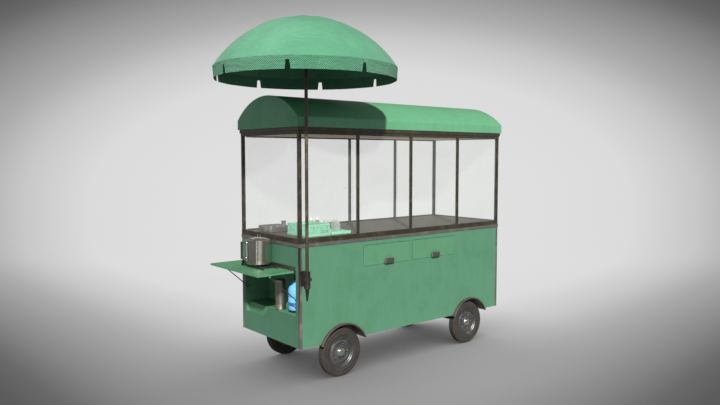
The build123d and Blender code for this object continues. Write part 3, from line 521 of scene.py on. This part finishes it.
tread_grooves = (-0.014, 0.0, 0.014)
groove_half = 0.0022
groove_depth = 0.005
bead_radius = 0.101
middle_depth = 0.030
nut_circle = 0.056
nut_count = 5
vent_circle = 0.0845
vent_count = 10
for name in ("wheel_front_left", "wheel_back_left", "wheel_front_right", "wheel_back_right"):
    low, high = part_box(name)
    radius = (high.z - low.z) / 2
    facing = -1.0 if "front" in name else 1.0
    outside = low.y if facing < 0 else high.y
    middle = Vector(((low.x + high.x) / 2, outside - facing * middle_depth, radius))
    place = Matrix.Translation(middle) @ Matrix.Rotation(-facing * math.pi / 2, 4, "X")

    tread = [(radius - 0.0035, -0.023), (radius - 0.0008, -0.019)]
    for groove in tread_grooves:
        tread += [(radius, groove - groove_half * 1.6),
                  (radius - groove_depth, groove - groove_half),
                  (radius - groove_depth, groove + groove_half),
                  (radius, groove + groove_half * 1.6)]
    tread += [(radius - 0.0008, 0.019), (radius - 0.0035, 0.023)]
    wall = [(radius - 0.009, 0.0268), (radius - 0.018, 0.0292), (radius - 0.024, 0.0298),
            (radius - 0.025, 0.0290), (radius - 0.031, 0.0290), (radius - 0.032, 0.0298),
            (radius - 0.044, 0.0290), (radius - 0.052, 0.0278), (radius - 0.054, 0.0264),
            (radius - 0.060, 0.0256), (bead_radius, 0.0236)]
    section = [(r, -h) for r, h in reversed(wall)] + tread + wall
    tyre = bmesh.new()
    spin(tyre, section + [(bead_radius, -0.0236)], place, 96)
    bmesh.ops.remove_doubles(tyre, verts=tyre.verts, dist=1e-6)
    show(name + "_tyre", outward(tyre), name, tyre_rubber, "tyre_rubber", name)

    disc = bmesh.new()
    spin(disc, [(0.0, -0.020), (0.030, -0.020), (0.094, -0.022), (0.1035, -0.0255),
                (0.1045, -0.0225), (0.1005, -0.019), (0.1005, 0.019), (0.1045, 0.0225),
                (0.1045, 0.0255), (0.1025, 0.0268), (0.0985, 0.0255), (0.0955, 0.0130),
                (0.0925, 0.0085), (0.088, 0.0080), (0.080, 0.0150), (0.071, 0.0172),
                (0.064, 0.0150), (0.058, 0.0116), (0.044, 0.0112), (0.038, 0.0150),
                (0.0335, 0.0160), (0.0, 0.0160)], place, 72)
    for i in range(nut_count):
        turn = 2 * math.pi * i / nut_count
        seat = place @ Matrix.Translation(
            (nut_circle * math.cos(turn), nut_circle * math.sin(turn), 0.011))
        spin(disc, [(0.0, 0.0), (0.0072, 0.0), (0.0072, 0.0022), (0.0056, 0.0030),
                    (0.0056, 0.0088), (0.0040, 0.0102), (0.0, 0.0104)], seat, 6, 0.3)
    for i in range(vent_count):
        turn = 2 * math.pi * (i + 0.5) / vent_count
        seat = place @ Matrix.Translation(
            (vent_circle * math.cos(turn), vent_circle * math.sin(turn), 0.0095))
        spin(disc, [(0.0, 0.0), (0.0042, 0.0), (0.0042, 0.0032), (0.0, 0.0042)], seat, 12, 0.5)
    show(name + "_rim", outward(disc), name, rim_steel, "grey_steel", name)

    cap = bmesh.new()
    spin(cap, [(0.0, 0.0150), (0.033, 0.0150), (0.033, 0.0185), (0.0305, 0.0195),
               (0.0285, 0.0255), (0.0235, 0.0295), (0.012, 0.0312), (0.0, 0.0316)], place, 40)
    show(name + "_cap", outward(cap), name, cap_steel, "grey_steel", name)

# ------------------------------------------------------------------------------------------
# The counter: a dark laminated board with a fine grain along the cart.
board_finish = Finish("counter_laminate")
board_grain = board_finish.noise(24.0, 6.0, (0.35, 4.0, 4.0), 0.65)
board_finish.shader({
    "Base Color": board_finish.mix(board_finish.step(board_grain, 0.35, 0.7),
                                   tone(76, 70, 65), tone(96, 89, 83)),
    "Roughness": 0.55 + 0.15 * board_grain,
    "Specular IOR Level": 0.3,
    "Normal": board_finish.bump(board_grain, 0.0002),
})
soften("counter_top", 0.001)
coat("counter_top", board_finish)


# ------------------------------------------------------------------------------------------
# Sill, posts and header of the glass case: dark bronze anodised aluminium sections, rubbed
# paler in places.
def bronze(name, main, rubbed):
    metal = Finish(name)
    rub = metal.step(metal.noise(18.0, 5.0, (1.0, 1.0, 1.0), 0.65), 0.45, 0.75)
    fine = metal.noise(180.0, 3.0)
    metal.shader({
        "Base Color": metal.mix(rub * 0.7, main, rubbed),
        "Metallic": 0.35,
        "Roughness": 0.38 + 0.2 * rub,
        "Normal": metal.bump(fine, 0.0002),
    })
    return metal


bronze_section = bronze("bronze_section", tone(56, 52, 41), tone(94, 87, 68))
for name in ("case_sill", "case_posts", "case_header"):
    soften(name, 0.0012)
    coat(name, bronze_section)

# The ceiling under the roof: a cream board with a matt, slightly uneven face.
ceiling_finish = Finish("ceiling_cream")
ceiling_stain = ceiling_finish.noise(6.0, 5.0)
ceiling_finish.shader({
    "Base Color": ceiling_finish.mix(ceiling_stain, tone(214, 202, 168), tone(196, 182, 146)),
    "Roughness": 0.8,
    "Normal": ceiling_finish.bump(ceiling_finish.noise(150.0), 0.0003),
})
coat("ceiling_panel", ceiling_finish)

# ------------------------------------------------------------------------------------------
# The panes: clear float glass, four in front, one at each end, and at the vendor's side two
# fixed panes with two sliding ones between them. Faint smears show where hands have been.
pane_glass = Finish("pane_glass")
smear = pane_glass.step(pane_glass.noise(3.0, 6.0, (1.0, 1.0, 1.6), 0.6), 0.45, 0.8)
pane_glass.shader({
    "Base Color": tone(214, 224, 218),
    "Roughness": 0.04 + 0.1 * smear,
    "Alpha": 0.045 + 0.03 * smear,
    "Specular IOR Level": 0.9,
})
for name in ("fixed_glass", "rear_door_left", "rear_door_right"):
    coat(name, pane_glass)

# ------------------------------------------------------------------------------------------
# The roof: rolled sheet in the same green enamel, painted a little paler than the sides as painted
# light, where it faces up to the light.
lit_roof_green = enamel("lit_roof_green", tone(92, 154, 115), tone(80, 141, 101), tone(103, 162, 128))
soften("roof_shell", 0.0015, 3)
coat("roof_shell", lit_roof_green)

# ------------------------------------------------------------------------------------------
# Drawers: painted steel fronts a shade brighter than the panel, each with a pressed cup pull.
# Painted shade darkens the fronts round the pulls.
drawer_green = enamel("drawer_green", tone(78, 129, 97), tone(68, 117, 84),
                      tone(86, 135, 105), pull_shade_marks)
for side in ("left", "right"):
    soften("drawer_" + side, 0.0015)
    coat("drawer_" + side, drawer_green)

pull_chrome = Finish("pull_chrome")
tarnish = pull_chrome.step(pull_chrome.noise(120.0, 4.0), 0.45, 0.7)
pull_chrome.shader({
    "Base Color": pull_chrome.mix(tarnish, tone(214, 212, 204), tone(150, 146, 134)),
    "Metallic": 1.0,
    "Roughness": 0.16 + 0.22 * tarnish,
})
for side in ("left", "right"):
    soften("drawer_pull_" + side, 0.0015, 3)
    coat("drawer_pull_" + side, pull_chrome)
coat("drawer_runners", trim_steel)

# ------------------------------------------------------------------------------------------
# The fold-down shelf at the left end: a painted steel flap on a piano hinge, braced by two
# round struts that have lost some of their paint.
shelf_green = enamel("shelf_green", tone(74, 134, 96), tone(62, 116, 84), tone(88, 146, 110))
soften("shelf_board", 0.001)
coat("shelf_board", shelf_green)
strut_steel = worn_steel("strut_steel", tone(92, 88, 76), tone(64, 56, 46), 0.5, 0.5)
for name in ("shelf_hinge", "shelf_stays"):
    soften(name, 0.0005)
    coat(name, strut_steel)

# ------------------------------------------------------------------------------------------
# The stove: a black cast iron stand on four feet with a burner, pan supports and gas pipe.
cast_iron = Finish("cast_iron")
iron_grain = cast_iron.noise(190.0, 4.0)
cast_iron.shader({
    "Base Color": cast_iron.mix(iron_grain, tone(28, 27, 26), tone(54, 50, 46)),
    "Metallic": 0.3,
    "Roughness": 0.6,
    "Normal": cast_iron.bump(iron_grain, 0.0006),
})
soften("gas_burner", 0.001)
coat("gas_burner", cast_iron)
knob_plastic = Finish("knob_plastic")
knob_plastic.shader({
    "Base Color": knob_plastic.mix(knob_plastic.noise(90.0), tone(18, 18, 18), tone(34, 33, 32)),
    "Roughness": 0.4,
})
soften("burner_knob", 0.0008)
coat("burner_knob", knob_plastic)

# ------------------------------------------------------------------------------------------
# The pot and its lid: spun stainless steel with fine turning rings and a few heat stains.
spun_steel = Finish("spun_steel")
rings_fine = spun_steel.noise(20.0, 3.0, (1.0, 1.0, 70.0))
heat = spun_steel.step(spun_steel.noise(14.0, 4.0), 0.5, 0.8)
pot_radius = (lid_high.y - lid_low.y) / 2 - 0.003
across_x = spun_steel.along("X") - lid_middle.x
across_y = spun_steel.along("Y") - lid_middle.y
from_axis = (across_x * across_x + across_y * across_y) ** 0.5
on_handle = spun_steel.step(from_axis, pot_radius + 0.0035, pot_radius + 0.0055)
steel_colour = spun_steel.mix(heat * 0.5, tone(206, 202, 190), tone(184, 170, 146))
above_lid = spun_steel.step(spun_steel.along("Z"), lid_high.z - 0.022, lid_high.z - 0.016)
steel_colour = spun_steel.mix(above_lid * 0.75, steel_colour, tone(48, 46, 42))
spun_steel.shader({
    "Base Color": spun_steel.mix(on_handle, steel_colour, tone(24, 23, 22)),
    "Metallic": 1.0 - on_handle,
    "Roughness": 0.14 + 0.1 * rings_fine + 0.3 * on_handle,
    "Normal": spun_steel.bump(rings_fine, 0.00015),
})
can_steel = Finish("can_steel")
can_grain = can_steel.noise(60.0, 3.0, (1.0, 1.0, 0.1))
can_steel.shader({
    "Base Color": can_steel.mix(can_grain, tone(176, 170, 158), tone(120, 114, 102)),
    "Metallic": 0.9,
    "Roughness": 0.26 + 0.2 * can_grain,
    "Normal": can_steel.bump(can_grain, 0.0001),
})
for name in ("pot", "pot_lid"):
    soften(name, 0.0006)
    coat(name, spun_steel)

# ------------------------------------------------------------------------------------------
# In the locker: a light blue gas bottle with a darker band, a foot ring and a brass valve,
# and a plain steel can with rolled rims and a cap.
bottle_paint = Finish("bottle_paint")
bottle_low, bottle_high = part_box("gas_bottle")
bottle_height = bottle_high.z - bottle_low.z
height_share = (bottle_paint.along("Z") - bottle_low.z) / bottle_height
band_mask = bottle_paint.step(height_share, 0.20, 0.21) - bottle_paint.step(height_share, 0.27, 0.28)
scuffs = bottle_paint.step(bottle_paint.noise(40.0, 5.0), 0.6, 0.7)
bottle_colour = bottle_paint.mix(band_mask, tone(112, 184, 236), tone(50, 104, 176))
bottle_colour = bottle_paint.mix(bottle_paint.step(height_share, 0.07, 0.055),
                                 bottle_colour, tone(30, 38, 50))
bottle_paint.shader({
    "Base Color": bottle_paint.mix(scuffs * 0.5, bottle_colour, tone(150, 190, 214)),
    "Roughness": 0.28 + 0.2 * scuffs,
    "Normal": bottle_paint.bump(bottle_paint.noise(260.0), 0.0003),
})
valve_brass = worn_steel("valve_brass", tone(52, 60, 76), tone(40, 44, 52), 0.5, 0.4)

bottle_middle = (bottle_low + bottle_high) / 2
bottle_radius = (bottle_high.x - bottle_low.x) / 2
bottle_place = Matrix.Translation((bottle_middle.x, bottle_middle.y, bottle_low.z))
bottle = bmesh.new()
spin(bottle, [
    (0.0, 0.004), (bottle_radius - 0.011, 0.004), (bottle_radius - 0.010, 0.0),
    (bottle_radius - 0.004, 0.0), (bottle_radius - 0.004, 0.014), (bottle_radius - 0.002, 0.018),
    (bottle_radius, 0.026), (bottle_radius, 0.098), (bottle_radius - 0.0012, 0.100),
    (bottle_radius - 0.0012, 0.103), (bottle_radius, 0.105), (bottle_radius, 0.150),
    (bottle_radius - 0.005, 0.172), (bottle_radius - 0.018, 0.194), (bottle_radius * 0.5, 0.209),
    (bottle_radius * 0.3, 0.215), (0.017, 0.219), (0.0, 0.219),
], bottle_place, 64)
show("gas_bottle_body", outward(bottle), "chassis", bottle_paint, "bottle_blue", "gas_bottle")
valve = bmesh.new()
spin(valve, [(0.0, 0.216), (0.013, 0.216), (0.013, 0.226), (0.009, 0.229), (0.009, 0.238),
             (0.0, 0.238)], bottle_place, 24)
spin(valve, [(0.0, 0.238), (0.006, 0.238), (0.019, 0.240), (0.021, 0.244), (0.019, 0.249),
             (0.006, 0.2515), (0.0, 0.2525)], bottle_place, 20)
outlet_turn = Matrix.Rotation(math.radians(-100), 4, "Y")
outlet = bottle_place @ Matrix.Translation((0.0, 0.0, 0.232)) @ outlet_turn
spin(valve, [(0.0, 0.004), (0.0055, 0.004), (0.0055, 0.022), (0.004, 0.026), (0.0, 0.026)], outlet, 16)
show("gas_bottle_valve", outward(valve), "chassis", valve_brass, "bottle_blue", "gas_bottle")

can_low, can_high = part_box("steel_can")
can_radius = (can_high.x - can_low.x) / 2
can_height = can_high.z - can_low.z
can_middle = (can_low + can_high) / 2
can_place = Matrix.Translation((can_middle.x, can_middle.y, can_low.z))
can = bmesh.new()
spin(can, [
    (0.0, 0.002), (can_radius - 0.002, 0.002), (can_radius, 0.0), (can_radius, 0.005),
    (can_radius - 0.0012, 0.008), (can_radius - 0.0012, can_height * 0.84),
    (can_radius, can_height * 0.855), (can_radius, can_height * 0.875),
    (can_radius - 0.002, can_height * 0.89), (can_radius * 0.9, can_height * 0.925),
    (can_radius * 0.9, can_height * 0.935), (can_radius * 0.93, can_height * 0.945),
    (can_radius * 0.93, can_height * 0.985), (can_radius * 0.88, can_height),
    (can_radius * 0.3, can_height - 0.001), (0.0, can_height - 0.001),
], can_place, 56)
show("steel_can_body", outward(can), "chassis", can_steel, "pot_steel", "steel_can")


# ------------------------------------------------------------------------------------------
# On the counter: a moulded mint basket with slotted walls, and a shallow steel tray. Both are
# open on top.
def slab(mesh, low, high):
    """Adds a plain block between two corners."""
    made = bmesh.ops.create_cube(mesh, size=1.0)["verts"]
    middle = (Vector(low) + Vector(high)) / 2
    size = Vector(high) - Vector(low)
    for vert in made:
        vert.co = Vector((vert.co.x * size.x, vert.co.y * size.y, vert.co.z * size.z)) + middle
    return made


trays_low, trays_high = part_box("serving_trays")
crate_size = Vector((0.195, 0.240, 0.082))
crate_low = trays_low + Vector((0.072, 0.0, 0.0))
crate_high = crate_low + crate_size
tray_size = Vector((0.175, 0.170, 0.046))
tray_low = Vector((trays_low.x, trays_high.y - tray_size.y, trays_low.z))
tray_high = tray_low + tray_size

mint_plastic = Finish("mint_plastic")
mint_clouds = mint_plastic.noise(30.0, 4.0)
mint_plastic.shader({
    "Base Color": mint_plastic.mix(mint_clouds, tone(122, 204, 166), tone(160, 222, 192)),
    "Roughness": 0.35,
    "Alpha": 0.66 + 0.1 * mint_clouds,
    "Normal": mint_plastic.bump(mint_plastic.noise(200.0), 0.0002),
})
basket = bmesh.new()
wall = 0.004
slab(basket, crate_low, (crate_high.x, crate_high.y, crate_low.z + wall))
for bottom, top in ((0.004, 0.018), (0.040, 0.046), (0.070, 0.082)):
    z0 = crate_low.z + bottom
    z1 = crate_low.z + top
    for y0 in (crate_low.y, crate_high.y - wall):
        slab(basket, (crate_low.x, y0, z0), (crate_high.x, y0 + wall, z1))
    for x0 in (crate_low.x, crate_high.x - wall):
        slab(basket, (x0, crate_low.y + wall, z0), (x0 + wall, crate_high.y - wall, z1))
bar_pitch = 0.012
bar_half = 0.0028
bar_inset = 0.0006
bar_z = (crate_low.z + 0.016, crate_low.z + 0.072)
for axis, across in ((0, 1), (1, 0)):
    count = int((crate_high[axis] - crate_low[axis]) / bar_pitch)
    for i in range(count + 1):
        centre = crate_low[axis] + (crate_high[axis] - crate_low[axis]) * (i + 0.5) / (count + 1)
        for edge in (crate_low[across] + bar_inset, crate_high[across] - wall + bar_inset):
            low = [0.0, 0.0, bar_z[0]]
            high = [0.0, 0.0, bar_z[1]]
            low[axis], high[axis] = centre - bar_half, centre + bar_half
            low[across], high[across] = edge, edge + wall - 2 * bar_inset
            slab(basket, low, high)
basket_piece = show("mint_basket", outward(basket), "chassis", mint_plastic, "mint_plastic",
                    "serving_trays")
basket_bevel = basket_piece.modifiers.new("bevel", "BEVEL")
basket_bevel.width = 0.0006
basket_bevel.segments = 1

tray = bmesh.new()
tray_rows = [
    (0.010, 0.002), (0.004, 0.005), (0.0012, 0.012), (0.0, 0.044), (0.0, 0.0445), (0.0, 0.046),
    (0.0015, 0.046), (0.0027, 0.013), (0.0055, 0.0065), (0.0115, 0.0038),
]
tray_rings = []
corner_steps = 6
round_corner = 0.018
for inset, height in tray_rows:
    ring = []
    for cx, cy, start in ((1, 1, 0.0), (0, 1, 0.5), (0, 0, 1.0), (1, 0, 1.5)):
        pull_in = inset + round_corner
        corner_x = tray_high.x - pull_in if cx else tray_low.x + pull_in
        corner_y = tray_high.y - pull_in if cy else tray_low.y + pull_in
        for k in range(corner_steps + 1):
            turn = math.pi * (start + 0.5 * k / corner_steps)
            ring.append(tray.verts.new((corner_x + round_corner * math.cos(turn),
                                        corner_y + round_corner * math.sin(turn),
                                        tray_low.z + height)))
    tray_rings.append(ring)
for below, above in zip(tray_rings, tray_rings[1:]):
    for i in range(len(below)):
        j = (i + 1) % len(below)
        tray.faces.new((below[i], below[j], above[j], above[i])).smooth = True
tray.faces.new(list(reversed(tray_rings[0])))
tray.faces.new(tray_rings[-1])
tray_steel = worn_steel("tray_steel", tone(176, 172, 168), tone(140, 132, 126), 0.3, 0.3)
show("steel_tray", outward(tray), "chassis", tray_steel, "pot_steel", "serving_trays")

# ------------------------------------------------------------------------------------------
# Beside them: a mint serving board with three tumblers turned over on it, two red sauce
# bottles with white caps, and a small jar in the tray.
board_size = Vector((0.170, 0.180, 0.020))
board_low = crate_low + Vector((0.210, 0.0, 0.0))
board_high = board_low + board_size
board = bmesh.new()
slab(board, board_low, board_high)
bmesh.ops.bevel(board, geom=board.edges[:], offset=0.004, segments=3, affect="EDGES", profile=0.5)
board_plastic = Finish("board_plastic")
cuts = board_plastic.step(board_plastic.noise(60.0, 3.0, (0.3, 3.0, 1.0)), 0.55, 0.62)
board_plastic.shader({
    "Base Color": board_plastic.mix(cuts * 0.4, tone(132, 206, 170), tone(108, 176, 142)),
    "Roughness": 0.45,
    "Normal": board_plastic.bump(cuts, 0.0002),
})
show("serving_board", outward(board), "chassis", board_plastic, "mint_plastic", "counter_goods")

tumbler_glass = Finish("tumbler_glass")
rim_thick = tumbler_glass.node("LayerWeight", {"Blend": 0.35}, out="Facing")
tumbler_glass.shader({
    "Base Color": tone(196, 206, 200),
    "Roughness": 0.05,
    "Alpha": 0.18 + 0.5 * rim_thick,
    "Specular IOR Level": 0.9,
})
tumblers = bmesh.new()
for share_x, share_y in ((0.3, 0.76), (0.7, 0.72), (0.52, 0.34)):
    seat = Matrix.Translation((board_low.x + share_x * board_size.x,
                               board_low.y + share_y * board_size.y, board_high.z))
    spin(tumblers, [(0.0255, 0.0), (0.0270, 0.0004), (0.0262, 0.010), (0.0218, 0.066),
                    (0.0205, 0.0695), (0.0, 0.0698), (0.0, 0.0640), (0.0190, 0.0630),
                    (0.0245, 0.004), (0.0255, 0.0)], seat, 32)
bmesh.ops.remove_doubles(tumblers, verts=tumblers.verts, dist=1e-6)
show("tumblers", outward(tumblers), "chassis", tumbler_glass, "clear_glass", "counter_goods")

sauce_red = Finish("sauce_red")
fill = sauce_red.noise(24.0, 4.0)
sauce_red.shader({
    "Base Color": sauce_red.mix(fill, tone(112, 56, 50), tone(134, 76, 66)),
    "Roughness": 0.3,
})
cap_white = Finish("cap_white")
cap_white.shader({
    "Base Color": cap_white.mix(cap_white.noise(70.0), tone(226, 226, 220), tone(240, 240, 236)),
    "Roughness": 0.4,
})
sauce_place = crate_low + Vector((crate_size.x + 0.026, crate_size.y + 0.022, 0.0))
sauce_pitch = 0.052
for number in (1, 2):
    seat = Matrix.Translation(sauce_place + Vector((sauce_pitch * (number - 1), 0.0, 0.0)))
    bottle = bmesh.new()
    spin(bottle, [(0.0, 0.001), (0.0175, 0.001), (0.019, 0.003), (0.019, 0.060), (0.0182, 0.066),
                  (0.0120, 0.078), (0.0090, 0.082), (0.0, 0.082)], seat, 36)
    show(f"sauce_bottle_{number}", outward(bottle), "chassis", sauce_red, "goods_plastic",
         "counter_goods")
    cap = bmesh.new()
    spin(cap, [(0.0, 0.0800), (0.0105, 0.0800), (0.0105, 0.0905), (0.0085, 0.0925), (0.0040, 0.1035),
               (0.0, 0.1040)], seat, 24)
    show(f"sauce_cap_{number}", outward(cap), "chassis", cap_white, "goods_plastic",
         "counter_goods")

jar_place = Vector((tray_size.x * 0.8, tray_size.y * 0.25, 0.004))
jar_seat = Matrix.Translation(tray_low + jar_place)
jar = bmesh.new()
spin(jar, [(0.0, 0.0), (0.0155, 0.0), (0.017, 0.002), (0.017, 0.052), (0.0145, 0.058),
           (0.0145, 0.060), (0.0165, 0.0605), (0.0165, 0.0735), (0.0155, 0.0755),
           (0.0, 0.0758)], jar_seat, 32)
jar_dark = Finish("jar_dark")
jar_dark.shader({
    "Base Color": jar_dark.mix(jar_dark.noise(40.0), tone(92, 84, 80), tone(118, 110, 104)),
    "Roughness": 0.2,
})
show("spice_jar", outward(jar), "chassis", jar_dark, "goods_plastic", "counter_goods")

# ------------------------------------------------------------------------------------------
# The mast and its socket: dark brown enamelled tube in a heavier clamp with a pointed tip,
# held by a thumb screw. The paint is rubbed to a paler brown in patches.
mast_paint = bronze("mast_paint", tone(66, 58, 47), tone(112, 102, 85))
clamp_paint = bronze("clamp_paint", tone(42, 38, 33), tone(66, 60, 52))
for name, width, finish in (("mast_pole", 0.0008, mast_paint), ("mast_clamp", 0.001, clamp_paint),
                            ("clamp_screw", 0.0006, clamp_paint), ("runner", 0.001, clamp_paint)):
    soften(name, width)
    coat(name, finish)

# ------------------------------------------------------------------------------------------
# The parasol's ribs and stretchers: brown lacquered steel rod.
rib_lacquer = bronze("rib_lacquer", tone(140, 124, 100), tone(168, 156, 132))
for number in range(1, 9):
    for name in (f"rib_{number}", f"stretcher_{number}"):
        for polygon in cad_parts[name].data.polygons:
            polygon.use_smooth = True
        coat(name, rib_lacquer)

# ------------------------------------------------------------------------------------------
# The parasol's cover: coated woven cloth stretched over eight ribs into a dome, with a short
# skirt that is notched at each rib. It is cut in eight gores, one over each rib, and each gore
# folds in with its rib when the parasol is closed.
canopy_low, canopy_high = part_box("canopy")
canopy_radius = (canopy_high.x - canopy_low.x) / 2
canopy_centre = (canopy_low + canopy_high) / 2
skirt_height = 0.075
hem_z = canopy_low.z
edge_z = hem_z + skirt_height
apex_z = 2.405
dome_radius = (canopy_radius ** 2 + (apex_z - edge_z) ** 2) / (2 * (apex_z - edge_z))
dome_centre_z = apex_z - dome_radius
edge_turn = math.asin(canopy_radius / dome_radius)
crown_hole = 0.013
crown_turn = math.asin(crown_hole / dome_radius)
half_gore = math.pi / 8
cloth_thickness = 0.0014
notch_top = 0.052
notch_low_half = 0.017
notch_high_half = 0.0105
skirt_taper = 0.005
sag = 0.0045
crown_swell = 0.004
dome_rows = 26
side_columns = 11


def dome_point(turn, down):
    """A point of the cover's outer face: turn about the mast, down from the crown, 0 to 1."""
    angle = crown_turn + (edge_turn - crown_turn) * down
    between = abs((turn + half_gore) % (2 * half_gore) - half_gore) / half_gore
    slack = sag * (2 * between - between * between) * math.sin(math.pi * (0.12 + 0.72 * down))
    swell = crown_swell * max(0.0, 1.0 - down / 0.13) ** 1.5
    reach = dome_radius - slack + swell
    return Vector((reach * math.sin(angle) * math.cos(turn),
                   reach * math.sin(angle) * math.sin(turn),
                   dome_centre_z + reach * math.cos(angle)))


def skirt_point(turn, down):
    """A point of the skirt's outer face: down is 0 at the dome's edge and 1 at the hem."""
    start = dome_point(turn, 1.0)
    reach = math.hypot(start.x, start.y) - skirt_taper * down
    reach += 0.0016 * down * math.sin(16 * turn + 0.7)
    return Vector((reach * math.cos(turn), reach * math.sin(turn),
                   start.z + (hem_z - start.z) * down))


def surface_normal(face, turn, down):
    """The outward direction of the cover, found from small steps on its surface."""
    step = 0.002
    if abs((turn + half_gore) % (2 * half_gore) - half_gore) < 1e-3:
        turn += 1e-4
    across = face(turn + step, down) - face(turn - step, down)
    downward = face(turn, min(down + 0.01, 1.0)) - face(turn, max(down - 0.01, 0.0))
    return downward.cross(across).normalized()


cloth = Finish("parasol_cloth")
middle_place = (canopy_centre.x, canopy_centre.y, dome_centre_z)
local = cloth.node("VectorMath", {0: cloth.place(), 1: middle_place}, operation="SUBTRACT")
local_x = cloth.node("SeparateXYZ", {"Vector": local}, out="X")
local_y = cloth.node("SeparateXYZ", {"Vector": local}, out="Y")
round_turn = cloth.node("Math", {0: local_y, 1: local_x}, operation="ARCTAN2")
cloth_z = cloth.along("Z")
thread_pitch = 0.013
weft = cloth.node("Math", {0: cloth_z * (2 * math.pi / thread_pitch)}, operation="SINE")
warp_count = round(2 * math.pi * canopy_radius / thread_pitch / 8) * 8
warp = cloth.node("Math", {0: round_turn * warp_count}, operation="SINE")
weave = weft * warp
on_skirt = cloth.step(cloth_z, edge_z + 0.002, edge_z - 0.002)
crinkle = cloth.noise(16.0, 6.0, (1.0, 1.0, 3.5), 0.62)
fade = cloth.noise(3.0, 4.0)
fibre = cloth.noise(260.0, 2.0)
cloth_colour = cloth.mix(cloth.step(fade, 0.35, 0.7), tone(78, 143, 110), tone(94, 158, 126))
# Painted highlight: the crinkles' ridges are painted a lighter green.
cloth_colour = cloth.mix(cloth.step(crinkle, 0.56, 0.75) * 0.4, cloth_colour, tone(112, 172, 142))
cloth_colour = cloth.mix((0.5 + 0.5 * weave) * (0.08 + 0.36 * on_skirt),
                         cloth_colour, tone(54, 112, 82))
height = weave * (0.2 + 0.8 * on_skirt) + crinkle * 4.5 + fibre * 0.3
cloth.shader({
    "Base Color": cloth_colour,
    "Roughness": 0.55 + 0.2 * crinkle,
    "Normal": cloth.bump(height, 0.0026),
    "Sheen Weight": 0.15,
    "Sheen Roughness": 0.5,
    "Specular IOR Level": 0.35,
})

notch_start = 1.0 - notch_top / skirt_height
skirt_levels = [round(notch_start * k / 3, 5) for k in range(1, 4)]
skirt_levels += [round(notch_start + (1 - notch_start) * k / 5, 5) for k in range(1, 6)]
gore_length = dome_radius * (edge_turn - crown_turn) + skirt_height
gore_width = 2 * math.pi * canopy_radius / 8


def notch_half_turn(level):
    """Half the notch's width, as a turn about the mast, at a level of the skirt."""
    share = max(0.0, (level - notch_start) / (1 - notch_start))
    half = notch_high_half + (notch_low_half - notch_high_half) * share
    return half / canopy_radius


patch_radius = 0.024
crown_patch = bmesh.new()
spin(crown_patch, [(0.0, 0.0022), (patch_radius, 0.0010), (patch_radius, -0.0004), (0.0, 0.0004)],
     Matrix.Translation((canopy_centre.x, canopy_centre.y, apex_z)), 48)
patch_piece = show("canopy_crown", outward(crown_patch), "mast", cloth, "parasol_cloth", "canopy")

levels = [(dome_point, k / dome_rows) for k in range(dome_rows + 1)]
levels += [(skirt_point, level) for level in skirt_levels]
columns = 2 * side_columns + 3
notch_columns = (side_columns, side_columns + 1)
centre = Vector((canopy_centre.x, canopy_centre.y, 0.0))


def kept(r, c):
    """True where a gore has cloth between rows r and r + 1, columns c and c + 1."""
    if not (0 <= r < len(levels) - 1 and 0 <= c < columns - 1):
        return False
    face, level = levels[r]
    in_notch = face is skirt_point and level >= notch_start - 1e-6 and c in notch_columns
    return not in_notch


for number in range(1, 9):
    middle_turn = (number - 1) * math.pi / 4
    gore = bmesh.new()
    verts = []
    for face, level in levels:
        notch = notch_half_turn(level if face is skirt_point else 0.0)
        spaces = [(half_gore - notch) * k / side_columns for k in range(side_columns + 1)]
        turns = [-half_gore + space for space in spaces] + [0.0]
        turns += [notch + space for space in spaces]
        row = []
        for turn in turns:
            outer = face(middle_turn + turn, level)
            inner = outer - surface_normal(face, middle_turn + turn, level) * cloth_thickness
            row.append((gore.verts.new(outer + centre), gore.verts.new(inner + centre)))
        verts.append(row)

    for r in range(len(levels) - 1):
        for c in range(columns - 1):
            if not kept(r, c):
                continue
            corners = ((r, c), (r + 1, c), (r + 1, c + 1), (r, c + 1))
            gore.faces.new([verts[a][b][0] for a, b in corners]).smooth = True
            gore.faces.new([verts[a][b][1] for a, b in reversed(corners)]).smooth = True
            for (ar, ac), (br, bc), neighbour in (
                (corners[0], corners[1], (r, c - 1)), (corners[1], corners[2], (r + 1, c)),
                (corners[2], corners[3], (r, c + 1)), (corners[3], corners[0], (r - 1, c)),
            ):
                if not kept(*neighbour):
                    gore.faces.new([verts[br][bc][0], verts[ar][ac][0],
                                    verts[ar][ac][1], verts[br][bc][1]])
    unused = [v for v in gore.verts if not v.link_faces]
    bmesh.ops.delete(gore, geom=unused, context="VERTS")
    gore_piece = show(f"canopy_gore_{number}", gore, f"rib_{number}", cloth, "parasol_cloth",
                      "canopy")
    data = gore_piece.data
    edge_ring = edge_z - 0.0005
    normals = [None] * len(data.loops)
    for polygon in data.polygons:
        flat_normal = polygon.normal.copy()
        on_the_skirt = polygon.center.z < edge_ring
        for index in polygon.loop_indices:
            point = data.vertices[data.loops[index].vertex_index].co - centre
            turn = math.atan2(point.y, point.x)
            out = Vector((point.x, point.y, 0.0))
            if on_the_skirt:
                down = min(max((edge_z - point.z) / skirt_height, 0.0), 1.0)
                smooth_normal = surface_normal(skirt_point, turn, down)
            else:
                angle = math.atan2(out.length, point.z - dome_centre_z)
                down = min(max((angle - crown_turn) / (edge_turn - crown_turn), 0.0), 1.0)
                smooth_normal = surface_normal(dome_point, turn, down)
            facing = smooth_normal.dot(flat_normal)
            if abs(facing) < 0.6:
                normals[index] = flat_normal
            else:
                normals[index] = smooth_normal * (1.0 if facing > 0 else -1.0)
    data.normals_split_custom_set([tuple(n) for n in normals])
    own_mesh(gore_piece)
    gore_width * gore_length * 0.6
